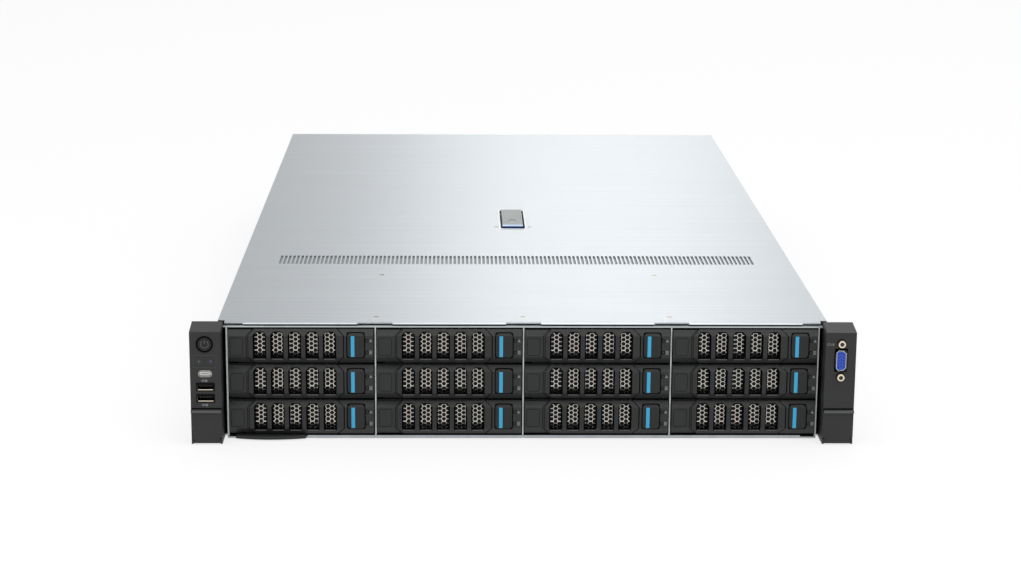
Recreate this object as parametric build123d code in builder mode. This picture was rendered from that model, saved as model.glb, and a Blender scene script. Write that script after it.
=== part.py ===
from build123d import *
import math
import os

# A 2U rack server. X runs to the right seen from the front, Y to the rear and Z up.
# The origin is on the underside, midway across, level with the front edge of the top cover.

# Case: its width and height follow from the drive bays
side_margin = 7.0
bay_margin = 6.0
case_depth = 800.0
steel = 1.2
cover_steel = 1.0
gap = 0.3

# Drive bays and the bezels of their carriers
columns = 4
rows = 3
bay_pitch = 108.0
row_pitch = 27.0
bezel_gap_x = 2.4
bezel_gap_z = 1.7
lowest_bezel = 3.8
bezel_front = -6.0
bezel_edge = -2.0
lower_slope = 5.1
upper_slope = 4.2
bezel_wall = 1.6
cage_front = -1.5
cage_depth = 159.2
cage_drop = 1.8
ledge_steel = 1.0
ledge_start = 8.0
ledge_side_gap = 0.8

# Carrier
plate_front = 1.2
plate_thickness = 1.2
drive_side_room = 6.4
drive_length = 147.0
drive_head_room = 0.9
drive_lid = 1.2
drive_lid_inset = 4.0
rail_clearance = 0.2
rail_thickness = 1.8
rail_height = 13.0
rail_rise = 6.0
rail_length = 152.8
tie_height = 3.0
lug_width = 3.0
lug_height = 9.0
pin_radius = 0.7
running_gap = 0.08
air_window_inset = 1.0

# Handle of a carrier
seam_from_right = 21.6
seam_lean = 4.7
seam_gap = 0.8
pivot_from_left = 3.2
pivot_y = -2.6
handle_back = -1.4
window_count = 5
window_rib = 3.0
window_end = 0.7
window_head = 1.6
window_sill = 3.0
first_window = 18.1
window_corner = 2.2
label_end = 14.2
label_step = 0.5
knuckle_height = 3.4
knuckle_width = 5.2
knuckle_sink = 0.2
knuckle_behind_pin = 1.3

# Release button of a carrier
button_from_right = 12.85
button_width = 12.2
button_sill = 4.8
button_head = 2.5
button_corner = 1.6
button_gap = 0.4
bar_width = 2.7
bar_margin = 1.3
bar_offset = -2.2
bar_proud = 0.25
bar_above_slope = 0.3

# Ears
ear_width = 22.4
ear_reach = 18.3
ear_front = -17.0
ear_back = 3.0
ear_foot = 0.4
brow_drop = 2.4
crown_rise = 0.5
flange_steel = 2.0
flap_top = 26.4
flap_steel = 2.0
flap_barrel = 1.5
flap_lip = 2.0
flap_lip_height = 2.2
flap_lip_slope = 0.5
flap_foot = 0.1
screw_from_edge = 8.75
screw_below_flap_top = 5.1
screw_radius = 3.0
screw_neck = 2.4
screw_head_radius = 5.0
screw_head_length = 9.0
screw_end = 17.0

# Controls and ports: some hang from the brow of the ear, some stand above its flap
control_from_edge = 10.9
power_below_brow = 9.2
power_radius = 5.8
power_depth = 5.0
power_recess = 0.2
lamp_below_brow = 22.0
lamp_width = 16.6
lamp_height = 9.4
type_c_above_flap = 27.0
type_c_width = 10.2
type_c_height = 5.0
type_c_wall = 1.0
usb_width = 13.2
usb_height = 6.2
usb_wall = 0.35
usb_depth = 12.0
usb_upper_above_flap = 17.1
usb_lower_above_flap = 8.6
display_below_brow = 20.6
display_width = 17.0
display_depth_x = 9.0
display_corner = 2.2
jack_spacing = 25.0
jack_radius = 2.3

# Top cover and its latch
slot_margin = 30.0
slot_pitch = 3.357
slot_width = 1.94
slot_length = 30.0
slot_middle_y = 205.0
tab_setback = 2.5
tab_half_width = 12.8
corner_notch = 5.2
corner_notch_depth = 8.0
rivet_front_y = 18.5
rivet_rear_y = 152.0
pan_width = 21.0
pan_front = 327.0
pan_length = 76.0
pan_depth = 11.0
latch_width = 17.8
latch_proud = 1.4
latch_thickness = 2.4
latch_pivot_y = 396.0
latch_pivot_drop = 3.4
latch_barrel = 3.0
latch_pin = 1.5
grip_length = 5.0
grip_depth = 6.0

# Information tag
tag_from_wall = 5.6
tag_width = 51.3
tag_thickness = 1.6
tag_length = 66.0
tag_bulge = 3.5
tag_foot = 0.2

# Fans
fan_head_room = 7.0
fan_depth = 38.0
fan_margin = 11.0
fan_count = 4
fan_front = 230.0
fan_foot = 1.5
fan_rim = 2.0
hub_radius = 17.0
hub_length = 25.0
blade_count = 7
blade_tip_gap = 1.0
blade_end_trim = 1.9
blade_thickness = 1.6
motor_length = 7.0

# Boards
board_front = 290.0
board_rear_margin = 6.0
board_thickness = 2.0
board_side_gap = 3.0
board_bay_gap = 2.0
board_supply_gap = 6.0
stand_off = 7.0
sink_width = 78.0
sink_length = 108.0
sink_base = 7.0
sink_height = 58.0
sink_x = 95.0
sink_y = 392.0
socket_height = 8.0
fin_count = 13
fin_thickness = 1.6
memory_per_bank = 4
memory_pitch = 9.5
memory_length = 133.4
memory_height = 31.3
memory_thickness = 1.3
memory_socket_width = 6.5
memory_socket_height = 9.0
memory_socket_end = 4.0
module_rise = 3.0

stand_off_radius = 3.2
stand_off_inset = 20.0
stand_off_middle_y = 500.0
stand_off_middle_x = 30.0
stand_off_side_inset = 18.0
stand_off_bay_inset = 27.5

# Rear ports of the system board
port_proud = 0.4
rear_port_length = 17.4
network_from_bay = (21.5, 105.5, 123.5)
network_width = 16.0
network_height = 13.4
network_wall = 1.8
rear_usb_from_bay = 41.5
rear_usb_pitch = 6.8
rear_display_from_bay = 73.5
rear_display_length = 12.0
display_side_angle = 80.0

# Power supplies
supply_width = 73.5
supply_height = 40.0
supply_length = 185.0
supply_gap = 1.6
supply_margin = 1.7

# Rear wall
slot_opening_width = 112.0
slot_opening_height = 12.0
cover_plate_width = 120.0
cover_plate_height = 18.4
cover_plate_pitch = 20.32
cover_plate_foot = 24.8
riser_from_bay = (68.5, 193.5)
riser_length = 155.0
rear_vent_from_side = 59.0
rear_vent_rise = 12.5
rear_vent_columns = 11
rear_vent_rows = 3
rear_vent_pitch_x = 9.0
rear_vent_pitch_z = 20.0
rear_vent_width = 5.0
rear_vent_height = 16.0

# Rail studs
stud_radius = 3.0
stud_length = 1.8
stud_z = 43.5
stud_front_y = 240.0
stud_front_spacing = 240.0
stud_rear_from_back = 130.0
stud_rear_spacing = 200.0

# Values worked out from the sizes above
cage_half = columns * bay_pitch / 2
case_width = 2 * (cage_half + side_margin)
case_height = rows * row_pitch + bay_margin
rack_width = case_width + 2 * ear_reach
half_case = case_width / 2
half_rack = rack_width / 2
bezel_width = bay_pitch - bezel_gap_x
bezel_height = row_pitch - bezel_gap_z
seam_from_left = bezel_width - seam_from_right
button_from_left = bezel_width - button_from_right
button_height = bezel_height - button_sill - button_head
bar_height = button_height - 2 * bar_margin
window_zone = seam_from_left - seam_lean - window_end - first_window + window_rib
window_pitch = window_zone / window_count
window_width = window_pitch - window_rib
window_height = bezel_height - window_sill - window_head
drive_width = bay_pitch - drive_side_room
drive_height = row_pitch - drive_head_room
cage_top = case_height - cage_drop
ear_brow = case_height - brow_drop
control_x = half_rack - control_from_edge
screw_x = half_rack - screw_from_edge
screw_z = flap_top - screw_below_flap_top
power_z = ear_brow - power_below_brow
lamp_z = ear_brow - lamp_below_brow
display_z = ear_brow - display_below_brow
type_c_z = flap_top + type_c_above_flap
usb_upper_z = flap_top + usb_upper_above_flap
usb_lower_z = flap_top + usb_lower_above_flap
latch_pivot_z = case_height - latch_pivot_drop
pan_back = pan_front + pan_length
slot_count = round((case_width - 2 * slot_margin) / slot_pitch)
tag_left = tag_from_wall - cage_half
fan_size = case_height - fan_head_room
fan_pitch = (case_width - 2 * fan_margin) / fan_count
bore_radius = fan_size / 2 - fan_rim
blade_tip = bore_radius - blade_tip_gap
ear_inner = half_rack - ear_width
wall_inner = half_case - steel
cover_underside = case_height - cover_steel
bezel_left = -bezel_width / 2
bay_wall = (bay_pitch - steel) / 2
seam_x = bezel_left + seam_from_left
pivot_x = bezel_left + pivot_from_left
drive_front = plate_front + plate_thickness + gap
bezel_middle = bezel_height / 2
flap_pivot_y = ear_front + flap_barrel
flap_pivot_z = ear_foot + flap_barrel + flap_foot
supply_left = supply_margin - half_case
supply_back = case_depth - gap
supply_front = supply_back - supply_length
supply_right = supply_left + supply_width
bay_side = supply_right + gap
board_top = steel + stand_off + board_thickness
board_left = bay_side + steel + board_bay_gap
board_back = case_depth - board_rear_margin
stand_off_x = (bay_side + stand_off_bay_inset, stand_off_middle_x, half_case - stand_off_side_inset)
network_x = [bay_side + x for x in network_from_bay]
rear_usb_x = bay_side + rear_usb_from_bay
rear_display_x = bay_side + rear_display_from_bay
riser_middles = [bay_side + x for x in riser_from_bay]
rear_vent_x = half_case - rear_vent_from_side
stud_rear_y = case_depth - stud_rear_from_back
first_plate_z = cover_plate_foot + cover_plate_height / 2
plate_middles = [first_plate_z + level * cover_plate_pitch for level in range(rows)]

os.makedirs("parts", exist_ok=True)


def block(x, y, z, mode=Mode.ADD):
    """A block between a low and a high value on each axis."""
    with Locations(((x[0] + x[1]) / 2, (y[0] + y[1]) / 2, (z[0] + z[1]) / 2)):
        Box(x[1] - x[0], y[1] - y[0], z[1] - z[0], mode=mode)


def rod(start, radius, length, axis, mode=Mode.ADD):
    """A round bar from a point along an axis."""
    with Locations(Plane(origin=start, z_dir=axis)):
        Cylinder(radius, length, align=(Align.CENTER, Align.CENTER, Align.MIN), mode=mode)


def save(part, name):
    """Labels a finished piece and writes it under its name."""
    part.label = name
    export_step(part, f"parts/{name}.step")


def bezel_profile(inset, back):
    """Side profile of a bezel as (y, z) corners, with every face moved in by a wall."""
    lower_rise = lower_slope / (bezel_edge - bezel_front)
    upper_rise = upper_slope / (bezel_edge - bezel_front)
    lower_shift = inset * math.hypot(1, lower_rise)
    upper_shift = inset * math.hypot(1, upper_rise)
    face = bezel_front + inset
    lower_edge = bezel_edge + (lower_shift - inset) / lower_rise
    upper_edge = bezel_edge + (upper_shift - inset) / upper_rise
    low = [(face, inset + (lower_edge - face) * lower_rise)]
    high = [(face, bezel_height - inset - (upper_edge - face) * upper_rise)]
    # A profile that ends before its slope does stops on the slope
    if lower_edge < back:
        low += [(lower_edge, inset), (back, inset)]
    else:
        low += [(back, inset + (lower_edge - back) * lower_rise)]
    if upper_edge < back:
        high += [(upper_edge, bezel_height - inset), (back, bezel_height - inset)]
    else:
        high += [(back, bezel_height - inset - (upper_edge - back) * upper_rise)]
    return [*reversed(low), *high]


def seam_outline(x, far_x):
    """Front outline of what lies on one side of a seam that leans over the sloping faces."""
    return [
        (far_x, 0),
        (x - seam_lean, 0),
        (x, lower_slope),
        (x, bezel_height - upper_slope),
        (x - seam_lean, bezel_height),
        (far_x, bezel_height),
    ]


# Chassis tray: a folded base with rail studs, a rear panel, a supply bay and board stand-offs
flange_back = ear_back + flange_steel
side_wall_front = flange_back + gap
rear_wall = (case_depth - steel, case_depth)
wall_top = cover_underside - gap
shelf_z = (steel + gap + supply_height + gap, steel + gap + supply_height + supply_gap - gap)
lip_height = 2.2
lip_inset = 11.0
lip_from_tag = 1.0
floor_from_ear = 2.0
rear_rim = 1.0
lip_half_width = cage_half - lip_inset
tag_right = tag_left + tag_width
floor_front_half = ear_inner - gap - floor_from_ear

with BuildPart() as base:
    block((-half_case, half_case), (side_wall_front, rear_wall[0]), (0, steel))
    block((-floor_front_half, floor_front_half), (cage_front, side_wall_front), (0, steel))
    block((tag_right + lip_from_tag, lip_half_width), (cage_front, cage_front + steel), (0, lip_height))
    for side in (-1, 1):
        wall = sorted((side * wall_inner, side * half_case))
        block(wall, (side_wall_front, rear_wall[0]), (0, wall_top))
    # Round studs that hang the case in its rails
    for side in (-1, 1):
        for middle, spacing in ((stud_front_y, stud_front_spacing), (stud_rear_y, stud_rear_spacing)):
            for end in (-1, 1):
                start = (side * half_case, middle + end * spacing / 2, stud_z)
                rod(start, stud_radius, stud_length, (side, 0, 0))

# Supply bay: an inner wall, and the shelf between the two supplies
with BuildPart() as supply_bay:
    block((bay_side, bay_side + steel), (supply_front, rear_wall[0]), (steel, wall_top))
    block((-wall_inner, bay_side + steel), (supply_front, rear_wall[0]), shelf_z)

# Rear panel, open behind the supplies, the expansion slots and the ports, with vents beside the slots
with BuildPart() as rear_panel:
    block((-half_case, half_case), rear_wall, (0, wall_top))
    cut = (rear_wall[0] - 1, case_depth + 1)
    for level in ((steel, shelf_z[0]), (shelf_z[1], wall_top - rear_rim)):
        block((-wall_inner, bay_side), cut, level, mode=Mode.SUBTRACT)
    with BuildSketch(Plane.XZ.offset(-cut[1])):
        for middle in riser_middles:
            with Locations(*[(middle, z) for z in plate_middles]):
                Rectangle(slot_opening_width, slot_opening_height)
        with Locations((rear_vent_x, case_height / 2 + rear_vent_rise)):
            with GridLocations(rear_vent_pitch_x, rear_vent_pitch_z, rear_vent_columns, rear_vent_rows):
                Rectangle(rear_vent_width, rear_vent_height)
        with Locations(*[(x, board_top + network_height / 2) for x in network_x]):
            Rectangle(network_width + 2 * gap, network_height + 2 * gap)
        with Locations((rear_usb_x, board_top + (rear_usb_pitch + usb_height) / 2)):
            Rectangle(usb_width + 2 * gap, rear_usb_pitch + usb_height + 2 * gap)
        with Locations((rear_display_x, board_top + display_depth_x / 2)):
            Rectangle(display_width + 2 * gap, display_depth_x + 2 * gap)
    extrude(amount=cut[1] - cut[0], mode=Mode.SUBTRACT)

# Six-sided stand-offs that carry the system board
with BuildPart() as stand_offs:
    with BuildSketch(Plane.XY.offset(steel)):
        for y in (board_front + stand_off_inset, stand_off_middle_y, board_back - stand_off_inset):
            with Locations(*[(x, y) for x in stand_off_x]):
                RegularPolygon(stand_off_radius, 6)
    extrude(amount=stand_off)

# Steel ear brackets: a rack flange and a leg along the side wall
bracket_length = 45.0
bracket_inset = 8.5
bracket_foot = 1.0
bracket_seam = 0.05
with BuildPart() as brackets:
    for side in (-1, 1):
        flange = sorted((side * (ear_inner + gap), side * half_rack))
        leg = sorted((side * (half_case + bracket_seam), side * (half_case + steel)))
        block(flange, (ear_back, flange_back), (bracket_foot, wall_top))
        block(leg, (flange_back, bracket_length), (bracket_inset, case_height - bracket_inset))
        hole = (side * screw_x, ear_back - 1, screw_z)
        rod(hole, screw_radius + gap, flange_steel + 2, (0, 1, 0), mode=Mode.SUBTRACT)

sheets = [base.part.solid(), rear_panel.part.solid(), supply_bay.part.solid()]
sheets += [*brackets.part.solids(), *stand_offs.part.solids()]
save(Compound(children=sheets), "chassis_tray")

# Drive cage: top sheet, five upright walls and the ledges that the carriers slide on
cage_back = cage_front + cage_depth
ledge_top = lowest_bezel + rail_rise - gap
ledge_width = bay_wall - drive_width / 2 - ledge_side_gap
backplane_thickness = 2.0
backplane_margin = 1.0
board_y = (cage_back + gap, cage_back + gap + backplane_thickness)

with BuildPart() as cage:
    block(
        (-wall_inner + gap, wall_inner - gap),
        (side_wall_front, cage_back),
        (cage_top - ledge_steel, cage_top),
    )
    block((-ear_inner + gap, ear_inner - gap), (cage_front, side_wall_front), (cage_top - ledge_steel, cage_top))
    for index in range(columns + 1):
        x = index * bay_pitch - cage_half
        block((x - steel / 2, x + steel / 2), (cage_front, cage_back), (steel + gap, cage_top))
        for side in (-1, 1):
            if abs(x + side) < cage_half:
                ledge = sorted((x + side * steel / 2, x + side * (steel / 2 + ledge_width)))
                for row in range(rows):
                    z = ledge_top + row * row_pitch
                    block(ledge, (plate_front + ledge_start, cage_back), (z - ledge_steel, z))
    lip_zone = (cage_front - 1, cage_front + steel + gap)
    block((-cage_half - 1, cage_half + 1), lip_zone, (0, lip_height + gap), mode=Mode.SUBTRACT)

# Drive backplane: a board with air slots, and one connector for each drive
connector_front = drive_front + drive_length + gap
backplane_web = 6.8
air_slot_foot = 13.0
air_slot_height = 8.0
connector_left = 40.0
connector_width = 44.0
connector_foot = 2.0
connector_height = 6.5
with BuildPart() as backplane:
    backplane_half = cage_half + backplane_margin
    backplane_z = (steel + gap, cage_top - ledge_steel - backplane_margin)
    block((-backplane_half, backplane_half), board_y, backplane_z)
    for column in range(columns):
        x = (column - (columns - 1) / 2) * bay_pitch
        for row in range(rows):
            z = lowest_bezel + row * row_pitch
            slot_x = (x - drive_width / 2 + backplane_web, x + drive_width / 2 - backplane_web)
            slot_z = (z + air_slot_foot, z + air_slot_foot + air_slot_height)
            block(slot_x, (board_y[0] - 1, board_y[1] + 1), slot_z, mode=Mode.SUBTRACT)
    # The connectors are soldered to the board's front face
    for column in range(columns):
        x = (column - (columns - 1) / 2) * bay_pitch
        for row in range(rows):
            z = lowest_bezel + row * row_pitch
            plug_x = (x - connector_left, x - connector_left + connector_width)
            plug_z = (z + connector_foot, z + connector_foot + connector_height)
            block(plug_x, (connector_front, board_y[0]), plug_z)

save(Compound(children=[cage.part.solid(), backplane.part.solid()]), "drive_cage")

# Carrier frame: front plate, fixed end of the bezel, side rails and hinge lug
button_x = bezel_left + button_from_left
button_z = button_sill + button_height / 2
rail_outer = drive_width / 2 + rail_clearance + rail_thickness
rail_back = plate_front + rail_length
lug_foot = bezel_middle - lug_height / 2

with BuildPart() as carrier:
    with BuildSketch(Plane.YZ.offset(seam_x - seam_lean - 1)):
        Polygon(*bezel_profile(0, plate_front))
        Polygon(*bezel_profile(bezel_wall, plate_front), mode=Mode.SUBTRACT)
    extrude(amount=bezel_width / 2 - seam_x + seam_lean + 1)
    with BuildSketch(Plane.XZ.offset(-plate_front)):
        Polygon(*seam_outline(seam_x + seam_gap / 2, bezel_width / 2))
    extrude(amount=plate_front - bezel_front + 1, mode=Mode.INTERSECT)
    with BuildSketch(Plane.XZ.offset(-bezel_edge)):
        with Locations((button_x, button_z)):
            Rectangle(button_width + 2 * button_gap, button_height + 2 * button_gap)
    extrude(amount=bezel_edge - bezel_front + 1, mode=Mode.SUBTRACT)
    plate = (plate_front, plate_front + plate_thickness)
    block((bezel_left, -bezel_left), plate, (0, bezel_height))
    air_x = (bezel_left + first_window - air_window_inset, seam_x - seam_lean)
    air_z = (window_sill, window_sill + window_height - air_window_inset)
    block(air_x, (plate[0] - 1, plate[1] + 1), air_z, mode=Mode.SUBTRACT)
    for side in (-1, 1):
        rail = sorted((side * rail_outer, side * (rail_outer - rail_thickness)))
        block(rail, (plate_front, rail_back), (rail_rise, rail_rise + rail_height))
    tie_top = rail_rise + rail_height
    tie_back = (drive_front + drive_length + gap, rail_back)
    block((-rail_outer, rail_outer), tie_back, (tie_top - tie_height, tie_top))
    lug_x = (pivot_x - lug_width / 2, pivot_x + lug_width / 2)
    block(lug_x, (pivot_y, plate_front), (lug_foot, lug_foot + lug_height))
    rod((pivot_x, pivot_y, lug_foot), lug_width / 2, lug_height, (0, 0, 1))
    rod(
        (pivot_x, pivot_y, lug_foot - 1),
        pin_radius + running_gap,
        lug_height + 2,
        (0, 0, 1),
        mode=Mode.SUBTRACT,
    )

# The drive that a carrier holds
drive_foot = bezel_middle - drive_height / 2
with BuildPart() as drive:
    with BuildSketch(Plane.XY.offset(drive_foot)):
        with Locations((0, drive_front + drive_length / 2)):
            Rectangle(drive_width, drive_length)
    extrude(amount=drive_height - drive_lid)
    with BuildSketch(Plane.XY.offset(drive_foot + drive_height - drive_lid)):
        with Locations((0, drive_front + drive_length / 2)):
            Rectangle(drive_width - 2 * drive_lid_inset, drive_length - 2 * drive_lid_inset)
    extrude(amount=drive_lid)

# Handle: a folded shell with leaning ends, five windows and a hinge pin
handle_length = seam_from_left - seam_gap / 2
window_x = bezel_left + first_window + window_width / 2 + window_pitch * (window_count - 1) / 2
window_z = window_sill + window_height / 2

with BuildPart() as label_skin:
    with BuildSketch(Plane.YZ.offset(bezel_left - 1)):
        Polygon(*bezel_profile(-1, handle_back + 1))
        Polygon(*bezel_profile(label_step, handle_back + 1), mode=Mode.SUBTRACT)
    extrude(amount=label_end + 6)
    with BuildSketch(Plane.XZ.offset(-handle_back)):
        Polygon(
            (bezel_left - 1, 0),
            (bezel_left + label_end + seam_lean, 0),
            (bezel_left + label_end, lower_slope),
            (bezel_left + label_end, bezel_height - upper_slope),
            (bezel_left + label_end + seam_lean, bezel_height),
            (bezel_left - 1, bezel_height),
        )
    extrude(amount=handle_back - bezel_front + 1, mode=Mode.INTERSECT)

with BuildPart() as handle:
    with BuildSketch(Plane.YZ.offset(bezel_left)):
        Polygon(*bezel_profile(0, handle_back))
        Polygon(*bezel_profile(bezel_wall, handle_back), mode=Mode.SUBTRACT)
    extrude(amount=handle_length)
    with BuildSketch(Plane.XZ.offset(-handle_back)):
        Polygon(*seam_outline(seam_x - seam_gap / 2, bezel_left))
    extrude(amount=handle_back - bezel_front + 1, mode=Mode.INTERSECT)
    add(label_skin.part, mode=Mode.SUBTRACT)
    with BuildSketch(Plane.XZ.offset(-handle_back)):
        with Locations((window_x, window_z)):
            with GridLocations(window_pitch, 1, window_count, 1):
                half = window_width / 2
                top = window_height / 2
                Polygon(
                    (-half, -top),
                    (half, -top),
                    (half, top - window_corner),
                    (half - window_corner, top),
                    (window_corner - half, top),
                    (-half, top - window_corner),
                )
    extrude(amount=handle_back - bezel_front + 1, mode=Mode.SUBTRACT)
    # Two knuckles and the pin between them
    knuckle_x = (pivot_x - knuckle_width / 2 + knuckle_sink, pivot_x + knuckle_width / 2)
    knuckle_y = (bezel_front + bezel_wall - knuckle_sink, pivot_y + knuckle_behind_pin)
    block(knuckle_x, knuckle_y, (lug_foot - gap - knuckle_height, lug_foot - gap))
    block(knuckle_x, knuckle_y, (lug_foot + lug_height + gap, lug_foot + lug_height + gap + knuckle_height))
    rod((pivot_x, pivot_y, lug_foot - 1), pin_radius, lug_height + 2, (0, 0, 1))

# Release button: follows the bezel's profile, with a bar on its face
with BuildPart() as button:
    with BuildSketch(Plane.YZ.offset(button_x - button_width / 2)):
        Polygon(*bezel_profile(0, handle_back))
    extrude(amount=button_width)
    with BuildSketch(Plane.XZ.offset(-handle_back)) as button_outline:
        with Locations((button_x, button_z)):
            Rectangle(button_width, button_height)
        chamfer(button_outline.vertices(), length=button_corner)
    extrude(amount=handle_back - bezel_front + 1, mode=Mode.INTERSECT)
with BuildPart() as bar:
    bar_x = button_x + bar_offset
    bar_foot = lower_slope + bar_above_slope
    bar_z = (bar_foot, bar_foot + bar_height)
    block((bar_x - bar_width / 2, bar_x + bar_width / 2), (bezel_front - bar_proud, bezel_front), bar_z)

number = 0
for row in reversed(range(rows)):
    for column in range(columns):
        number += 1
        x = (column - (columns - 1) / 2) * bay_pitch
        place = Location((x, 0, lowest_bezel + row * row_pitch))
        pieces = [carrier.part.solid().moved(place), drive.part.solid().moved(place)]
        save(Compound(children=pieces), f"carrier_{number:02d}")
        save(handle.part.solid().moved(place), f"carrier_handle_{number:02d}")
        pieces = [button.part.solid().moved(place), bar.part.solid().moved(place)]
        save(Compound(children=pieces), f"carrier_button_{number:02d}")

# Ears: moulded housings, built on the right side and mirrored for the left
ear_wall = 1.8
ear_chamfer = 0.8
ear_crown = case_height + crown_rise
flap_seat = ear_front + flap_steel + gap
cheek = 1.4
cheek_room = 0.4
cheek_top = flap_pivot_z + flap_barrel + gap + cheek_room
lamp_depth = 0.4
lamp_corner = 1.8
port_gap = 0.15


def ear_housing():
    """The right ear without its ports: body, flap seat, hinge cheeks and screw cavity."""
    with BuildPart() as ear:
        with BuildSketch(Plane.YZ.offset(ear_inner)):
            Polygon(
                (ear_back, ear_foot),
                (ear_front, ear_foot),
                (ear_front, ear_brow),
                (ear_back, ear_crown),
            )
        extrude(amount=ear_width)
        brow = ear.faces().sort_by(Axis.Z)[-1]
        chamfer(brow.edges().sort_by(Axis.X)[0], length=ear_chamfer)
        inside = (ear_inner + cheek, half_rack - cheek)
        block(
            (ear_inner - 1, half_rack + 1),
            (ear_front - 1, flap_seat),
            (cheek_top, flap_top + gap),
            mode=Mode.SUBTRACT,
        )
        block(inside, (ear_front - 1, flap_seat), (ear_foot - 1, cheek_top + 1), mode=Mode.SUBTRACT)
        barrel_start = (inside[0], flap_pivot_y, flap_pivot_z)
        rod(barrel_start, flap_barrel + gap, inside[1] - inside[0], (1, 0, 0), mode=Mode.SUBTRACT)
        pin_start = (ear_inner - 1, flap_pivot_y, flap_pivot_z)
        rod(pin_start, pin_radius + running_gap, ear_width + 2, (1, 0, 0), mode=Mode.SUBTRACT)
        block(
            (ear_inner + ear_wall, half_rack - ear_wall),
            (flap_seat - 1, ear_back - ear_wall),
            (cheek_top, flap_top),
            mode=Mode.SUBTRACT,
        )
        hole = (screw_x, ear_back - ear_wall - 1, screw_z)
        rod(hole, screw_radius + gap, ear_wall + 2, (0, 1, 0), mode=Mode.SUBTRACT)
    return ear.part


def ear_flap():
    """The right flap: a plate on a barrel, with a finger lip along its upper edge."""
    with BuildPart() as flap:
        with BuildSketch(Plane.YZ.offset(ear_inner)):
            Polygon(
                (flap_seat - gap, cheek_top + 2 * gap),
                (ear_front, cheek_top + 2 * gap),
                (ear_front, flap_top - flap_lip_height - flap_lip_slope),
                (ear_front - flap_lip, flap_top - flap_lip_height),
                (ear_front - flap_lip, flap_top),
                (flap_seat - gap, flap_top),
            )
        extrude(amount=ear_width)
        inside = (ear_inner + cheek + gap, half_rack - cheek - gap)
        block(inside, (ear_front, flap_seat - gap), (flap_pivot_z, cheek_top + 1))
        barrel_start = (inside[0], flap_pivot_y, flap_pivot_z)
        rod(barrel_start, flap_barrel, inside[1] - inside[0], (1, 0, 0))
        pin_start = (ear_inner, flap_pivot_y, flap_pivot_z)
        rod(pin_start, pin_radius, ear_width, (1, 0, 0))
    return flap.part


def open_shell(x, y, z, wall):
    """A metal port shell: a box open at its front, or at its rear where y runs backwards."""
    with BuildPart() as shell:
        block(x, sorted(y), z)
        reach = 1 if y[1] > y[0] else -1
        cavity_y = sorted((y[0] - reach, y[1] - reach * wall))
        block((x[0] + wall, x[1] - wall), cavity_y, (z[0] + wall, z[1] - wall), mode=Mode.SUBTRACT)
    return shell.part


# Left ear, as seen before it is mirrored: power button, lamp window, three sockets
usb_half = usb_width / 2
usb_x = (control_x - usb_half, control_x + usb_half)
type_c_depth = 6.0
with BuildPart() as left_housing:
    add(ear_housing())
    power_hole = (control_x, ear_front - 1, power_z)
    rod(power_hole, power_radius + button_gap, power_depth + 4, (0, 1, 0), mode=Mode.SUBTRACT)
    with BuildSketch(Plane.XZ.offset(-ear_front)) as lamp_outline:
        with Locations((control_x, lamp_z)):
            Rectangle(lamp_width, lamp_height)
        chamfer(lamp_outline.vertices(), length=lamp_corner)
    extrude(amount=-lamp_depth, mode=Mode.SUBTRACT)
    with BuildSketch(Plane.XZ.offset(-ear_front)):
        with Locations((control_x, type_c_z)):
            SlotOverall(type_c_width + 2 * port_gap, type_c_height + 2 * port_gap)
    extrude(amount=-type_c_depth - gap, mode=Mode.SUBTRACT)
    for z in (usb_upper_z, usb_lower_z):
        with BuildSketch(Plane.XZ.offset(-ear_front)):
            with Locations((control_x, z)):
                Rectangle(usb_width + 2 * port_gap, usb_height + 2 * port_gap)
        extrude(amount=-usb_depth - gap, mode=Mode.SUBTRACT)

with BuildPart() as type_c_shell:
    with BuildSketch(Plane.XZ.offset(-ear_front)):
        with Locations((control_x, type_c_z)):
            SlotOverall(type_c_width, type_c_height)
            SlotOverall(type_c_width - 2 * type_c_wall, type_c_height - 2 * type_c_wall, mode=Mode.SUBTRACT)
    extrude(amount=-type_c_depth)

left_pieces = [left_housing.part.solid(), type_c_shell.part.solid()]
for z in (usb_upper_z, usb_lower_z):
    usb_z = (z - usb_height / 2, z + usb_height / 2)
    left_pieces.append(open_shell(usb_x, (ear_front, ear_front + usb_depth), usb_z, usb_wall).solid())
save(Compound(children=[mirror(piece, about=Plane.YZ) for piece in left_pieces]), "left_ear")

# Right ear: display connector with a jackscrew above and below it
display_proud = 1.5
display_bed = 9.0
insert_recess = 0.8
display_wall = 0.5
jack_length = 3.0
with BuildPart() as right_housing:
    add(ear_housing())
    with BuildSketch(Plane.XZ.offset(-ear_front)):
        with Locations((control_x, display_z)):
            Rectangle(display_depth_x + 2 * port_gap, display_width + 2 * port_gap)
    extrude(amount=-display_bed - gap, mode=Mode.SUBTRACT)
with BuildPart() as display_port:
    with BuildSketch(Plane.XZ.offset(display_proud - ear_front)) as display_outline:
        with Locations((control_x, display_z)):
            Trapezoid(display_width, display_depth_x, display_side_angle, rotation=90)
        chamfer(display_outline.vertices(), length=display_corner)
    extrude(amount=-display_proud - display_bed)
    with BuildSketch(Plane.XZ.offset(display_proud - ear_front)):
        add(display_outline.sketch_local)
        offset(amount=-display_wall, mode=Mode.REPLACE)
    extrude(amount=-insert_recess, mode=Mode.SUBTRACT)
with BuildPart() as jacks:
    with BuildSketch(Plane.XZ.offset(-ear_front)):
        with Locations((control_x, display_z)):
            with GridLocations(1, jack_spacing, 1, 2):
                RegularPolygon(jack_radius, 6)
    extrude(amount=jack_length)
right_pieces = [right_housing.part.solid(), display_port.part.solid(), *jacks.part.solids()]
save(Compound(children=right_pieces), "right_ear")

right_flap = ear_flap()
save(mirror(right_flap, about=Plane.YZ), "left_ear_flap")
save(right_flap, "right_ear_flap")

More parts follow.
